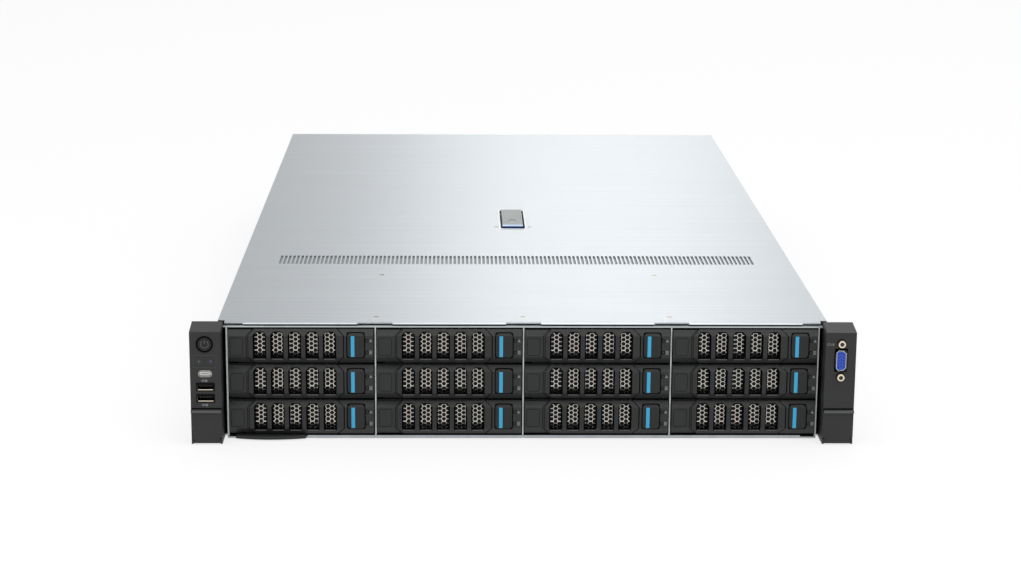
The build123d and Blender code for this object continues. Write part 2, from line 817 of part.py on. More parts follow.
# Captive rack screws: a round head in each ear's cavity, a neck through the flange and a thread behind it
screw_back = ear_back - ear_wall - gap
with BuildPart() as screws:
    for side in (-1, 1):
        rod((side * screw_x, screw_back - screw_head_length, screw_z), screw_head_radius, screw_head_length, (0, 1, 0))
        rod((side * screw_x, screw_back - 1, screw_z), screw_neck, flange_back - screw_back + 1, (0, 1, 0))
        rod((side * screw_x, flange_back, screw_z), screw_radius, screw_end - flange_back, (0, 1, 0))
save(screws.part, "rack_screws")

# Power button
with BuildPart() as power_button:
    rod((-control_x, ear_front + power_recess, power_z), power_radius, power_depth, (0, 1, 0))
save(power_button.part, "power_button")

# Pull-out information tag with a bowed grip
tag_front = -4.5
tag_z = steel + gap
with BuildPart() as tag:
    tag_middle = tag_left + tag_width / 2
    with BuildSketch(Plane.XY.offset(tag_z)):
        with BuildLine():
            Polyline(
                (tag_left, tag_front),
                (tag_left, tag_front + tag_length),
                (tag_right, tag_front + tag_length),
                (tag_right, tag_front),
            )
            ThreePointArc((tag_right, tag_front), (tag_middle, tag_front - tag_bulge), (tag_left, tag_front))
        make_face()
    extrude(amount=tag_thickness)
    with BuildSketch(Plane.XY.offset(ear_foot + tag_foot)):
        with BuildLine():
            Polyline(
                (tag_left, tag_front),
                (tag_left, cage_front - gap),
                (tag_right, cage_front - gap),
                (tag_right, tag_front),
            )
            ThreePointArc((tag_right, tag_front), (tag_middle, tag_front - tag_bulge), (tag_left, tag_front))
        make_face()
    extrude(amount=tag_z + tag_thickness - ear_foot - tag_foot)
save(tag.part, "info_tag")

# Top cover: a sheet with vent slots, set-back tabs, rivet dimples and side skirts
pan_wall = 0.8
skirt_depth = 9.0
skirt_front_gap = 8.0
skirt_back_gap = 4.0
skirt_front = cage_front + cage_depth + skirt_front_gap
skirt_back = supply_front - skirt_back_gap
dimple_radius = 2.6
dimple_depth = 0.6
with BuildPart() as cover:
    with BuildSketch(Plane.XY.offset(cover_underside)):
        with Locations((0, case_depth / 2)):
            Rectangle(case_width, case_depth)
        with Locations((0, tab_setback / 2)):
            with GridLocations(bay_pitch, 1, columns + 1, 1):
                Rectangle(2 * tab_half_width, tab_setback, mode=Mode.SUBTRACT)
        for side in (-1, 1):
            with Locations((side * (half_case - corner_notch / 2), corner_notch_depth / 2)):
                Rectangle(corner_notch, corner_notch_depth, mode=Mode.SUBTRACT)
        with Locations((0, slot_middle_y)):
            with GridLocations(slot_pitch, 1, slot_count, 1):
                Rectangle(slot_width, slot_length, mode=Mode.SUBTRACT)
    extrude(amount=cover_steel)
    rivets = [((index - 1) * bay_pitch, rivet_front_y) for index in range(3)]
    rivets += [(side * bay_pitch, rivet_rear_y) for side in (-1, 1)]
    with Locations(*[(x, y, case_height - dimple_depth / 2) for x, y in rivets]):
        Cone(dimple_radius / 2, dimple_radius, dimple_depth, mode=Mode.SUBTRACT)
# The sheet is cut into four flat panels that meet round the mouth of the latch pan
panel_spans = [
    ((-half_case, half_case), (0, pan_front)),
    ((-half_case, -pan_width / 2), (pan_front, pan_back)),
    ((pan_width / 2, half_case), (pan_front, pan_back)),
    ((-half_case, half_case), (pan_back, case_depth)),
]
panels = []
for span_x, span_y in panel_spans:
    with BuildPart() as panel:
        add(cover.part)
        block(span_x, span_y, (cover_underside, case_height), mode=Mode.INTERSECT)
    panels.append(panel.part.solid())
# The skirts are strips welded under the sheet
with BuildPart() as skirts:
    for side in (-1, 1):
        skirt = sorted((side * (wall_inner - gap), side * (wall_inner - gap - cover_steel)))
        block(skirt, (skirt_front, skirt_back), (cover_underside - skirt_depth, cover_underside))
with BuildPart() as pan:
    pan_floor = cover_underside - pan_depth
    x = pan_width / 2
    y = (pan_front, pan_back)
    block((-x - pan_wall, x + pan_wall), (y[0] - pan_wall, y[1] + pan_wall), (pan_floor, cover_underside))
    block((-x, x), y, (pan_floor + pan_wall, cover_underside + 1), mode=Mode.SUBTRACT)
    pin_start = (-x - pan_wall - 1, latch_pivot_y, latch_pivot_z)
    pin_hole = pan_width + 2 * pan_wall + 2
    rod(pin_start, latch_pin + running_gap, pin_hole, (1, 0, 0), mode=Mode.SUBTRACT)
save(Compound(children=[*panels, pan.part.solid(), *skirts.part.solids()]), "top_cover")

# Cover latch: a lever on a pin, with a deeper grip at its front end
latch_top = case_height + latch_proud
latch_front = pan_front + 1.2
latch_overhang = 4.5
with BuildPart() as latch:
    x = (-latch_width / 2, latch_width / 2)
    block(x, (latch_front, latch_pivot_y + latch_overhang), (latch_top - latch_thickness, latch_top))
    block(x, (latch_front, latch_front + grip_length), (latch_top - grip_depth, latch_top))
    rod((x[0], latch_pivot_y, latch_pivot_z), latch_barrel, latch_width, (1, 0, 0))
    pin_start = (-pan_width / 2 - pan_wall, latch_pivot_y, latch_pivot_z)
    rod(pin_start, latch_pin, pan_width + 2 * pan_wall, (1, 0, 0))
save(latch.part, "cover_latch")

# Fans: square frames with a motor base on four arms, and bladed rotors
fan_middle_z = fan_foot + fan_size / 2
fan_back = fan_front + fan_depth
arm_width = 4.0
fan_places = [(index - (fan_count - 1) / 2) * fan_pitch for index in range(fan_count)]
with BuildPart() as frame:
    with BuildSketch(Plane.XZ.offset(-fan_back)):
        Rectangle(fan_size, fan_size)
        Circle(bore_radius, mode=Mode.SUBTRACT)
    extrude(amount=fan_depth)
    with BuildSketch(Plane.XZ.offset(-fan_back)):
        Circle(hub_radius - 1)
        Rectangle(arm_width, 2 * bore_radius + 1)
        Rectangle(2 * bore_radius + 1, arm_width)
    extrude(amount=motor_length)
frames = [frame.part.solid().moved(Location((x, 0, fan_middle_z))) for x in fan_places]
save(Compound(children=frames), "fan_frames")

blade_half_chord = 12.5
blade_pitch = math.radians(42)
blade_camber = 3.0
rotor_back = fan_back - motor_length - gap
rotor_middle_y = rotor_back - hub_length / 2
# A blade is a crescent between two arcs, set at its pitch and drawn out from the hub
with BuildPart() as blade:
    along = (math.cos(blade_pitch) * blade_half_chord, math.sin(blade_pitch) * blade_half_chord)
    across = (-math.sin(blade_pitch), math.cos(blade_pitch))
    with BuildSketch(Plane.XY.offset(hub_radius - 1)):
        with BuildLine():
            tail = (-along[0], rotor_middle_y - along[1])
            nose = (along[0], rotor_middle_y + along[1])
            outer = blade_camber + blade_thickness
            ThreePointArc(tail, (across[0] * outer, rotor_middle_y + across[1] * outer), nose)
            ThreePointArc(nose, (across[0] * blade_camber, rotor_middle_y + across[1] * blade_camber), tail)
        make_face()
    extrude(amount=blade_tip - blade_end_trim - hub_radius + 1)
with BuildPart() as rotor:
    with BuildSketch(Plane.XZ.offset(-rotor_back)):
        Circle(hub_radius)
    extrude(amount=hub_length)
    for index in range(blade_count):
        add(blade.part.rotate(Axis.Y, index * 360 / blade_count))
for index, x in enumerate(fan_places):
    save(rotor.part.solid().moved(Location((x, 0, fan_middle_z))), f"fan_rotor_{index + 1}")

# System board with processor sockets, memory sockets and the rear ports
board_half = wall_inner - board_side_gap
socket_side = 66.0
bank_gap = 7.0
memory_x = []
for side in (-1, 1):
    for bank in (-1, 1):
        for index in range(memory_per_bank):
            offset_x = sink_width / 2 + bank_gap + index * memory_pitch
            memory_x.append(side * sink_x + bank * offset_x)
module_foot = board_top + module_rise
with BuildPart() as board:
    with BuildSketch(Plane.XY.offset(steel + stand_off)):
        Polygon(
            (-board_half, board_front),
            (board_half, board_front),
            (board_half, board_back),
            (board_left, board_back),
            (board_left, supply_front - board_supply_gap),
            (-board_half, supply_front - board_supply_gap),
        )
    extrude(amount=board_thickness)
with BuildPart() as sockets:
    for side in (-1, 1):
        x = side * sink_x
        y = (sink_y - socket_side / 2, sink_y + socket_side / 2)
        block((x - socket_side / 2, x + socket_side / 2), y, (board_top, board_top + socket_height))
with BuildPart() as memory_sockets:
    socket_half = memory_length / 2 + memory_socket_end
    y = (sink_y - socket_half, sink_y + socket_half)
    with BuildSketch(Plane.XZ.offset(-y[1])):
        for x in memory_x:
            with Locations((x, board_top + memory_socket_height / 2)):
                Rectangle(memory_socket_width, memory_socket_height)
            slot_height = board_top + memory_socket_height - module_foot + gap
            with Locations((x, module_foot - gap + slot_height / 2)):
                Rectangle(memory_thickness + 2 * port_gap, slot_height, mode=Mode.SUBTRACT)
    extrude(amount=y[1] - y[0])
port_y = (case_depth + port_proud, case_depth + port_proud - rear_port_length)
board_pieces = [board.part.solid(), *sockets.part.solids()]
for x in network_x:
    x_span = (x - network_width / 2, x + network_width / 2)
    z = (board_top, board_top + network_height)
    board_pieces.append(open_shell(x_span, port_y, z, network_wall).solid())
for level in range(2):
    x_span = (rear_usb_x - usb_half, rear_usb_x + usb_half)
    z = (board_top + level * rear_usb_pitch, board_top + level * rear_usb_pitch + usb_height)
    board_pieces.append(open_shell(x_span, port_y, z, usb_wall).solid())
with BuildPart() as rear_display:
    with BuildSketch(Plane.XZ.offset(-port_y[0])) as rear_outline:
        with Locations((rear_display_x, board_top + display_depth_x / 2)):
            Trapezoid(display_width, display_depth_x, display_side_angle)
        chamfer(rear_outline.vertices(), length=display_corner)
    extrude(amount=rear_display_length)
board_pieces.append(rear_display.part.solid())
save(Compound(children=board_pieces), "system_board")

# Processor heatsinks: a base with upright fins along the air stream
with BuildPart() as sink:
    fin_pitch = (sink_width - fin_thickness) / (fin_count - 1)
    with BuildSketch(Plane.XZ.offset(-sink_y - sink_length / 2)):
        with Locations((0, board_top + socket_height + sink_base / 2)):
            Rectangle(sink_width, sink_base)
        with Locations((0, board_top + socket_height + sink_height / 2)):
            with GridLocations(fin_pitch, 1, fin_count, 1):
                Rectangle(fin_thickness, sink_height)
    extrude(amount=sink_length)
sinks = [sink.part.solid().moved(Location((side * sink_x, 0, 0))) for side in (-1, 1)]
save(Compound(children=sinks), "processor_heatsinks")

# Memory banks: modules standing in their sockets
with BuildPart() as modules:
    for x in memory_x:
        x_span = (x - memory_thickness / 2, x + memory_thickness / 2)
        y = (sink_y - memory_length / 2, sink_y + memory_length / 2)
        block(x_span, y, (module_foot, module_foot + memory_height))
save(Compound(children=[*modules.part.solids(), *memory_sockets.part.solids()]), "memory_banks")

# Riser cages with their cards, card sockets and slot covers
riser_front = case_depth - riser_length
riser_back = rear_wall[0] - gap
riser_half = 60.5
riser_sheet = 1.0
riser_top = wall_top - gap
card_from_middle = 52.0
card_thickness = 1.6
card_rise = 10.0
card_inset = (4.0, 30.0)
foot_socket_side = 3.0
foot_socket_inset = (8.0, 40.0)
card_socket_depth = 11.0
card_socket_height = 7.4
card_socket_inset = (10.0, 45.0)
plate_slit = 8.0
plate_slit_pitch = 12.5
plate_slit_count = 8
plate_side_gap = 6.0
riser_pieces = []
for middle in riser_middles:
    card_x = (middle + card_from_middle, middle + card_from_middle + card_thickness)
    with BuildPart() as riser:
        block((middle - riser_half, middle + riser_half), (riser_front, riser_back), (riser_top - riser_sheet, riser_top))
        side_x = (middle - riser_half, middle - riser_half + riser_sheet)
        block(side_x, (riser_front, riser_back), (board_top + gap, riser_top))
    with BuildPart() as riser_card:
        card_y = (riser_front + card_inset[0], riser_back - card_inset[1])
        block(card_x, card_y, (board_top + card_rise, riser_top - riser_sheet - gap))
    with BuildPart() as card_sockets:
        foot_x = (card_x[0] - foot_socket_side, card_x[1] + foot_socket_side)
        foot_y = (riser_front + foot_socket_inset[0], riser_back - foot_socket_inset[1])
        block(foot_x, foot_y, (board_top, board_top + card_rise))
        socket_y = (riser_front + card_socket_inset[0], riser_back - card_socket_inset[1])
        for z in plate_middles:
            socket_z = (z - card_socket_height / 2, z + card_socket_height / 2)
            block((card_x[0] - card_socket_depth, card_x[0]), socket_y, socket_z)
    with BuildPart() as plates:
        with BuildSketch(Plane.XZ.offset(-riser_back)):
            with Locations(*[(middle, z) for z in plate_middles]):
                Rectangle(cover_plate_width - plate_side_gap, cover_plate_height)
                with GridLocations(plate_slit_pitch, 1, plate_slit_count, 1):
                    Rectangle(plate_slit, plate_slit, mode=Mode.SUBTRACT)
        extrude(amount=riser_sheet)
    riser_pieces += [riser.part.solid(), riser_card.part.solid()]
    riser_pieces += [*card_sockets.part.solids(), *plates.part.solids()]
save(Compound(children=riser_pieces), "riser_cages")

# Power supplies: a box with a fan recess, an inlet, and a bail handle
supply_foot = steel + gap
supply_middle_z = supply_foot + supply_height / 2
supply_fan_x = supply_left + 20.0
supply_fan_radius = 16.5
supply_fan_depth = 2.0
inlet_x = supply_left + 52.0
inlet_half_width = 12.2
inlet_half_height = 8.2
inlet_depth = 15.0
bail_x = supply_left + 38.5
bail_reach = 20.0
bail_half = 1.75
bail_rise = 14.0
tab_thickness = 2.5
tab_barrel = 2.0
tab_rise = 9.0
tab_half_height = 7.0
tab_lug_rise = 11.3
tab_reach = 15.0
tab_pin_x = supply_right - 4.25
tab_pin_y = supply_back + gap + tab_barrel
with BuildPart() as supply:
    supply_z = (supply_foot, supply_foot + supply_height)
    block((supply_left, supply_right), (supply_front, supply_back), supply_z)
    fan_start = (supply_fan_x, supply_back - supply_fan_depth, supply_middle_z)
    rod(fan_start, supply_fan_radius, supply_fan_depth + 1, (0, 1, 0), mode=Mode.SUBTRACT)
    block(
        (inlet_x - inlet_half_width, inlet_x + inlet_half_width),
        (supply_back - inlet_depth, supply_back + 1),
        (supply_middle_z - inlet_half_height, supply_middle_z + inlet_half_height),
        mode=Mode.SUBTRACT,
    )
    bail = (bail_x - bail_half, bail_x + bail_half)
    for side in (-1, 1):
        z = sorted((supply_middle_z + side * bail_rise, supply_middle_z + side * (bail_rise - 2 * bail_half)))
        block(bail, (supply_back - 1, supply_back + bail_reach), z)
    bar_y = (supply_back + bail_reach - 2 * bail_half, supply_back + bail_reach)
    block(bail, bar_y, (supply_middle_z - bail_rise, supply_middle_z + bail_rise))
    # Two lugs that carry the pin of the release latch
    for side in (-1, 1):
        z = sorted((supply_middle_z + side * (tab_rise + gap), supply_middle_z + side * tab_lug_rise))
        block((tab_pin_x - tab_barrel, tab_pin_x + tab_barrel), (supply_back - 1, tab_pin_y + tab_barrel), z)
    lug_hole = (tab_pin_x, tab_pin_y, supply_middle_z - tab_lug_rise - 1)
    rod(lug_hole, pin_radius + running_gap, 2 * tab_lug_rise + 2, (0, 0, 1), mode=Mode.SUBTRACT)

# Release latch of a supply: a spring tab on a pin beside the inlet
with BuildPart() as supply_latch:
    tab_x = (tab_pin_x - tab_thickness / 2, tab_pin_x + tab_thickness / 2)
    tab_z = (supply_middle_z - tab_half_height, supply_middle_z + tab_half_height)
    block(tab_x, (tab_pin_y, supply_back + tab_reach), tab_z)
    rod((tab_pin_x, tab_pin_y, supply_middle_z - tab_rise), tab_barrel, 2 * tab_rise, (0, 0, 1))
    rod((tab_pin_x, tab_pin_y, supply_middle_z - tab_lug_rise), pin_radius, 2 * tab_lug_rise, (0, 0, 1))
for index in range(2):
    place = Location((0, 0, index * (supply_height + supply_gap)))
    save(supply.part.solid().moved(place), f"power_supply_{index + 1}")
    save(supply_latch.part.solid().moved(place), f"supply_latch_{index + 1}")
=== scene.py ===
import math

import bmesh
import bpy
from mathutils import Matrix, Vector


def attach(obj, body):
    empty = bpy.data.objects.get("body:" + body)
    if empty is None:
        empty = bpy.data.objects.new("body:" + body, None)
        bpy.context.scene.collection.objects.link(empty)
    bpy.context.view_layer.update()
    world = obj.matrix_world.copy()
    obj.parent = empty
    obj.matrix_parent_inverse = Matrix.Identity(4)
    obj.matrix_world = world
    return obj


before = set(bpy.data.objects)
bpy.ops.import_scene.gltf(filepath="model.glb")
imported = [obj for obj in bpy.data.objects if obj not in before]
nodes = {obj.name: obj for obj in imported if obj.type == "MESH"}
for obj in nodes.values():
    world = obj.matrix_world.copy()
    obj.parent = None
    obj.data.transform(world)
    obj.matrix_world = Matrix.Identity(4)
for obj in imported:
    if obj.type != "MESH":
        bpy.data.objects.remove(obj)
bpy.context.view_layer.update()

# Sizes in millimetres. X runs to the right seen from the front, Y to the rear and Z up.
CASE_TOP = 87.0
CASE_BACK = 800.0
BOARD_TOP = 10.2

# Drive bays, counted from the upper left one
BAY_PITCH = 108.0
ROW_PITCH = 27.0
BAYS = [(column, row) for row in (2, 1, 0) for column in range(4)]

# Bezels: their places, and the two folds between which their face is flat
LOWEST_BEZEL = 3.8
BEZEL_WIDTH = 105.6
BEZEL_TOP = 25.3
BEZEL_FRONT = -6.0
LOWER_FOLD = 5.1
UPPER_FOLD = 21.1
SLOPE_DEPTH = 4.0

# On a bezel, from its lower left corner
LABEL_MIDDLE = (6.2, 12.9)
WINDOW_COUNT = 5
WINDOW_PITCH = 12.7
FIRST_WINDOW = 18.1
FIRST_WINDOW_MIDDLE = (22.95, 13.35)
BUTTON_MIDDLE = (92.75, 13.8)
BAR_MIDDLE = 90.55
LAMP_COLUMN = 100.9
MARK_COLUMN = 103.6
UPPER_LAMP = 17.6
LOWER_LAMP = 8.7

# Ears
EAR_FRONT = -17.0
CONTROL_X = 230.4
POWER_Z = 75.4
LAMP_WINDOW_Z = 62.6
SMALL_SOCKET_Z = 53.4
UPPER_USB_Z = 43.5
LOWER_USB_Z = 35.0
DISPLAY_Z = 64.0
JACKSCREW_RISE = 12.5
FLAP_MIDDLE = 230.1

# Power supplies
SUPPLY_LEFT = -221.3
SUPPLY_FAN_FROM_LEFT = 20
SUPPLY_INLET_FROM_LEFT = 52
SUPPLY_BACK = CASE_BACK - 0.3
LOWEST_SUPPLY = 21.5
SUPPLY_PITCH = 41.6

# Slot covers of the rear wall
RISER_MIDDLES = (-79.3, 45.7)
SLOT_SCREW_FROM_MIDDLE = 57.5
LOWEST_SLOT = 24.8 + 9.2
SLOT_PITCH = 20.32


def bay_corner(column, row):
    """Lower left corner of a bezel."""
    return (column - 1.5) * BAY_PITCH - BEZEL_WIDTH / 2, LOWEST_BEZEL + row * ROW_PITCH


# Material tools


def colour(value):
    """Linear colour of a six-digit sRGB value."""
    parts = [int(value[i : i + 2], 16) / 255 for i in (0, 2, 4)]
    linear = [c / 12.92 if c <= 0.04045 else ((c + 0.055) / 1.055) ** 2.4 for c in parts]
    return [*linear, 1.0]


def shade(value, share):
    """A colour made darker or lighter by a share, no brighter than white."""
    return [min(1.0, c * share) for c in colour(value)[:3]] + [1.0]


def add(tree, kind, inputs=None, **settings):
    """Adds a node, gives it its settings and sets or feeds its inputs."""
    made = tree.nodes.new(kind)
    for name, value in settings.items():
        setattr(made, name, value)
    for name, value in (inputs or {}).items():
        if isinstance(value, bpy.types.NodeSocket):
            tree.links.new(value, made.inputs[name])
        else:
            made.inputs[name].default_value = value
    return made


def maths(tree, operation, first, second=0.0, third=0.0):
    """One step of arithmetic."""
    made = add(tree, "ShaderNodeMath", {0: first, 1: second, 2: third}, operation=operation)
    return made.outputs[0]


def start(name):
    """A new material: its tree, its shader, and the place of a point in millimetres."""
    made = bpy.data.materials.new(name)
    made.use_nodes = True
    tree = made.node_tree
    place = add(tree, "ShaderNodeTexCoord").outputs["Object"]
    to_mm = {0: place, 1: (1000, 1000, 1000)}
    scaled = add(tree, "ShaderNodeVectorMath", to_mm, operation="MULTIPLY")
    return made, tree, tree.nodes["Principled BSDF"], scaled.outputs[0]


def grain(tree, place, size, detail=2.0):
    """Noise with grains of this size in millimetres along X, Y and Z."""
    scale = [1 / s for s in size]
    scaled = add(tree, "ShaderNodeVectorMath", {0: place, 1: scale}, operation="MULTIPLY")
    inputs = {"Vector": scaled.outputs[0], "Scale": 1.0, "Detail": detail}
    return add(tree, "ShaderNodeTexNoise", inputs).outputs[0]


def spread(tree, amount, low, high, start_at=0.3, end_at=0.7):
    """A value that runs from low to high."""
    values = {"Value": amount, "From Min": start_at, "From Max": end_at, "To Min": low, "To Max": high}
    return add(tree, "ShaderNodeMapRange", values).outputs[0]


def mix(tree, amount, low, high):
    """A colour between two colours."""
    return add(tree, "ShaderNodeMix", {0: amount, 6: low, 7: high}, data_type="RGBA").outputs[2]


def feed(tree, shader, **sockets):
    """Sets or feeds the shader's sockets; an underscore stands for a space."""
    for name, value in sockets.items():
        socket = shader.inputs[name.replace("_", " ")]
        if isinstance(value, bpy.types.NodeSocket):
            tree.links.new(value, socket)
        else:
            socket.default_value = value


def rough_up(tree, shader, height, depth):
    """Raises the surface by a height pattern, with its depth in millimetres."""
    values = {"Height": height, "Distance": depth / 1000, "Strength": 1.0}
    bump = add(tree, "ShaderNodeBump", values)
    tree.links.new(bump.outputs[0], shader.inputs["Normal"])


def between(tree, value, low, high):
    """1 where a value lies between two limits, else 0."""
    return maths(tree, "COMPARE", value, (low + high) / 2, (high - low) / 2)


def both_of(tree, first, second):
    """1 where two masks are both 1, else 0."""
    return maths(tree, "MULTIPLY", first, second)


def axes(tree, place):
    """X, Y and Z of a place."""
    return add(tree, "ShaderNodeSeparateXYZ", {0: place}).outputs


def across_bay(tree, x):
    """Distance from the middle of the bay that a point lies in."""
    moved = maths(tree, "ADD", x, BAY_PITCH / 2)
    return maths(tree, "WRAP", moved, BAY_PITCH / 2, -BAY_PITCH / 2)


def up_bezel(tree, z):
    """Height above the foot of the bezel that a point lies in."""
    return maths(tree, "WRAP", maths(tree, "SUBTRACT", z, LOWEST_BEZEL), ROW_PITCH, 0.0)


# Kinds of finish


def moulded_plastic(name, face, rough=0.5, pebble=0.5, depth=0.012, shine=0.36):
    """Moulded plastic with the fine pebbles of its tool, and faint cloudy shades 22 mm wide."""
    made, tree, shader, place = start(name)
    fine = grain(tree, place, (pebble,) * 3, 3.0)
    broad = grain(tree, place, (22, 22, 22), 2.0)
    feed(tree, shader, Base_Color=mix(tree, broad, shade(face, 0.88), shade(face, 1.16)))
    feed(tree, shader, Roughness=spread(tree, fine, rough - 0.05, rough + 0.07))
    feed(tree, shader, Specular_IOR_Level=shine)
    rough_up(tree, shader, fine, depth)
    return made


def brushed_sheet(name, face, along, rough=0.36, metal=1.0):
    """Sheet metal brushed along one axis. The strokes are drawn coarser than real, to show."""
    made, tree, shader, place = start(name)
    stroke = [60.0 if axis == along else 0.35 for axis in "XYZ"]
    band = [260.0 if axis == along else 3.0 for axis in "XYZ"]
    streak = grain(tree, place, stroke, 3.0)
    wide = grain(tree, place, band, 2.0)
    both = maths(tree, "ADD", maths(tree, "MULTIPLY", streak, 0.6), maths(tree, "MULTIPLY", wide, 0.4))
    tone = spread(tree, both, 0, 1)
    feed(tree, shader, Base_Color=mix(tree, tone, shade(face, 0.90), shade(face, 1.08)))
    feed(tree, shader, Roughness=spread(tree, streak, rough - 0.05, rough + 0.07))
    feed(tree, shader, Metallic=metal)
    rough_up(tree, shader, streak, 0.006)
    return made


def zinc_sheet(name, face, rough=0.4):
    """Zinc-coated steel: its pale spangle has flowers about 7 mm across."""
    made, tree, shader, place = start(name)
    flowers_per_mm = 0.14
    flowers = {"Vector": place, "Scale": flowers_per_mm, "Randomness": 1.0}
    cells = add(tree, "ShaderNodeTexVoronoi", flowers, feature="F1")
    tone = add(tree, "ShaderNodeSeparateColor", {0: cells.outputs["Color"]}).outputs[0]
    feed(tree, shader, Base_Color=mix(tree, tone, shade(face, 0.91), shade(face, 1.05)))
    feed(tree, shader, Roughness=spread(tree, tone, rough - 0.03, rough + 0.05, 0, 1))
    feed(tree, shader, Metallic=1.0)
    rough_up(tree, shader, grain(tree, place, (0.8, 0.8, 0.8)), 0.003)
    return made


def plated(name, face, rough=0.25, wear=6.0):
    """A smooth plated metal, slightly dulled in patches."""
    made, tree, shader, place = start(name)
    patch = grain(tree, place, (wear,) * 3, 3.0)
    feed(tree, shader, Base_Color=mix(tree, patch, shade(face, 0.9), colour(face)))
    feed(tree, shader, Roughness=spread(tree, patch, rough - 0.04, rough + 0.08))
    feed(tree, shader, Metallic=1.0)
    rough_up(tree, shader, grain(tree, place, (0.3, 0.3, 0.3)), 0.004)
    return made


def printed_or_lit(name, face):
    """Ink or an unlit lens: smooth, with grains of 0.6 mm in its tone."""
    made, tree, shader, place = start(name)
    patch = grain(tree, place, (0.6, 0.6, 0.6))
    feed(tree, shader, Base_Color=mix(tree, patch, shade(face, 0.8), colour(face)))
    feed(tree, shader, Roughness=spread(tree, patch, 0.3, 0.45))
    return made


def carrier_finish():
    """Black front strip with a thin band of painted shade at its back, zinc-coated rails, and a cast drive
    body between them.
    """
    made, tree, shader, place = start("carrier_steel_and_cast_drive")
    strip_back, shade_front, drive_half = 2.8, 2.6, 50.9
    x, y, z = axes(tree, place)
    front = maths(tree, "LESS_THAN", y, strip_back)
    shaded = between(tree, y, shade_front, strip_back)
    drive = between(tree, across_bay(tree, x), -drive_half, drive_half)
    fine = grain(tree, place, (0.5, 0.5, 0.5), 3.0)
    cast = mix(tree, fine, colour("5E6264"), colour("7A7E80"))
    rail = mix(tree, fine, colour("9AA0A3"), colour("B4B9BB"))
    plastic = mix(tree, fine, colour("262727"), colour("303131"))
    # A thin band at the back of the front strip is painted near black: painted shade.
    black = mix(tree, shaded, plastic, colour("030303"))
    metal = maths(tree, "SUBTRACT", 1.0, front)
    feed(tree, shader, Base_Color=mix(tree, front, mix(tree, drive, rail, cast), black), Metallic=metal)
    feed(tree, shader, Roughness=spread(tree, fine, 0.42, 0.56), Specular_IOR_Level=0.36)
    rough_up(tree, shader, fine, 0.012)
    return made


def button_finish():
    """Black moulded button with a glossy blue bar set in its face."""
    made, tree, shader, place = start("black_abs_with_blue_bar")
    bar_x, bar_half = BAR_MIDDLE - BEZEL_WIDTH / 2, 1.3
    bar_foot, bar_top, bar_back = 5.35, 20.9, -5.9
    x, y, z = axes(tree, place)
    bar = between(tree, across_bay(tree, x), bar_x - bar_half, bar_x + bar_half)
    bar = both_of(tree, bar, maths(tree, "LESS_THAN", y, bar_back))
    bar = both_of(tree, bar, between(tree, up_bezel(tree, z), bar_foot, bar_top))
    fine = grain(tree, place, (0.5, 0.5, 0.5), 3.0)
    plastic = mix(tree, fine, colour("222323"), colour("2C2D2D"))
    blue = mix(tree, fine, colour("3EAEDF"), colour("4EBCE9"))
    feed(tree, shader, Base_Color=mix(tree, bar, plastic, blue))
    feed(tree, shader, Roughness=spread(tree, bar, 0.5, 0.3, 0, 1), Specular_IOR_Level=0.3)
    rough_up(tree, shader, fine, 0.008)
    return made


def port_shields(tree, place, base):
    """Dark port housings with tinned rims, on the part of the board near the rear wall."""
    shield_front, rim_front = CASE_BACK - 60, CASE_BACK - 1.6
    x, y, z = axes(tree, place)
    high = maths(tree, "GREATER_THAN", z, BOARD_TOP + 0.1)
    shield = both_of(tree, maths(tree, "GREATER_THAN", y, shield_front), high)
    rim = maths(tree, "GREATER_THAN", y, rim_front)
    housing = mix(tree, rim, colour("2A2B2C"), colour("C4C7C9"))
    return mix(tree, shield, base, housing), both_of(tree, shield, rim)


def board_laminate(name, face, track, ports=False):
    """Printed circuit board: solder mask over copper tracks, drawn coarser than real, to show."""
    made, tree, shader, place = start(name)
    weave = {"Vector": place, "Scale": 0.16, "Distortion": 6.0, "Detail": 1.0}
    wave = add(tree, "ShaderNodeTexWave", weave, bands_direction="X")
    lines = maths(tree, "GREATER_THAN", wave.outputs["Fac"], 0.62)
    patch = grain(tree, place, (26, 26, 26), 2.0)
    shown = both_of(tree, lines, maths(tree, "GREATER_THAN", patch, 0.48))
    base = mix(tree, shown, colour(face), colour(track))
    if ports:
        base, metal = port_shields(tree, place, base)
        feed(tree, shader, Metallic=metal)
    feed(tree, shader, Base_Color=base, Roughness=spread(tree, patch, 0.32, 0.45))
    rough_up(tree, shader, lines, 0.03)
    return made


# Plastics

# Moulded black ABS of the bezels and handles: dark grey, matt, finely pebbled
bezel_abs = moulded_plastic("black_abs_pebbled", "2A2B2B")
# The ears' ABS comes from a coarser tool, so it catches a little more light
ear_abs = moulded_plastic("black_abs_coarse", "282828", 0.46, 0.6, shine=0.42)
# The power button is smoother and darker than the ear round it
button_abs = moulded_plastic("black_abs_smooth", "1D1E1E", 0.46, 0.6, shine=0.3)
# The flaps' finger ridge is painted a lighter grey: a painted highlight on its sloped face
ridge_highlight_abs = moulded_plastic("grey_abs_ridge_highlight", "5A5B5C", 0.42, 0.6)
# The lower lips of the windows are painted mid grey: a painted highlight where they lie towards the light
sill_highlight_abs = moulded_plastic("grey_abs_sill_highlight", "5E5F5E", 0.42, 0.3, 0.004)
# Nearly black nylon of sockets, which swallows light in their throats
socket_nylon = moulded_plastic("black_nylon", "0C0C0D", 0.4, 0.3, 0.004, 0.2)
# Pale grey nylon of tongues and chokes
grey_nylon = moulded_plastic("grey_nylon", "8E8C84", 0.42, 0.3, 0.004)
# The thin moulded edge of the lamp window
window_edge = moulded_plastic("grey_abs_outline", "454646", 0.42, 0.3, 0.004)
# Dead matt black for joints, and for painted shade in recesses, where no light comes back
joint_and_shade_black = moulded_plastic("black_matt_joints_and_painted_shade", "050506", 0.8, 0.3, 0.004, 0.05)
# Shallow grooves in black plastic, painted only a little darker than the face: painted shade in the
# grooves
groove_shade_black = moulded_plastic("black_abs_painted_groove_shade", "141415", 0.7, 0.3, 0.004, 0.1)
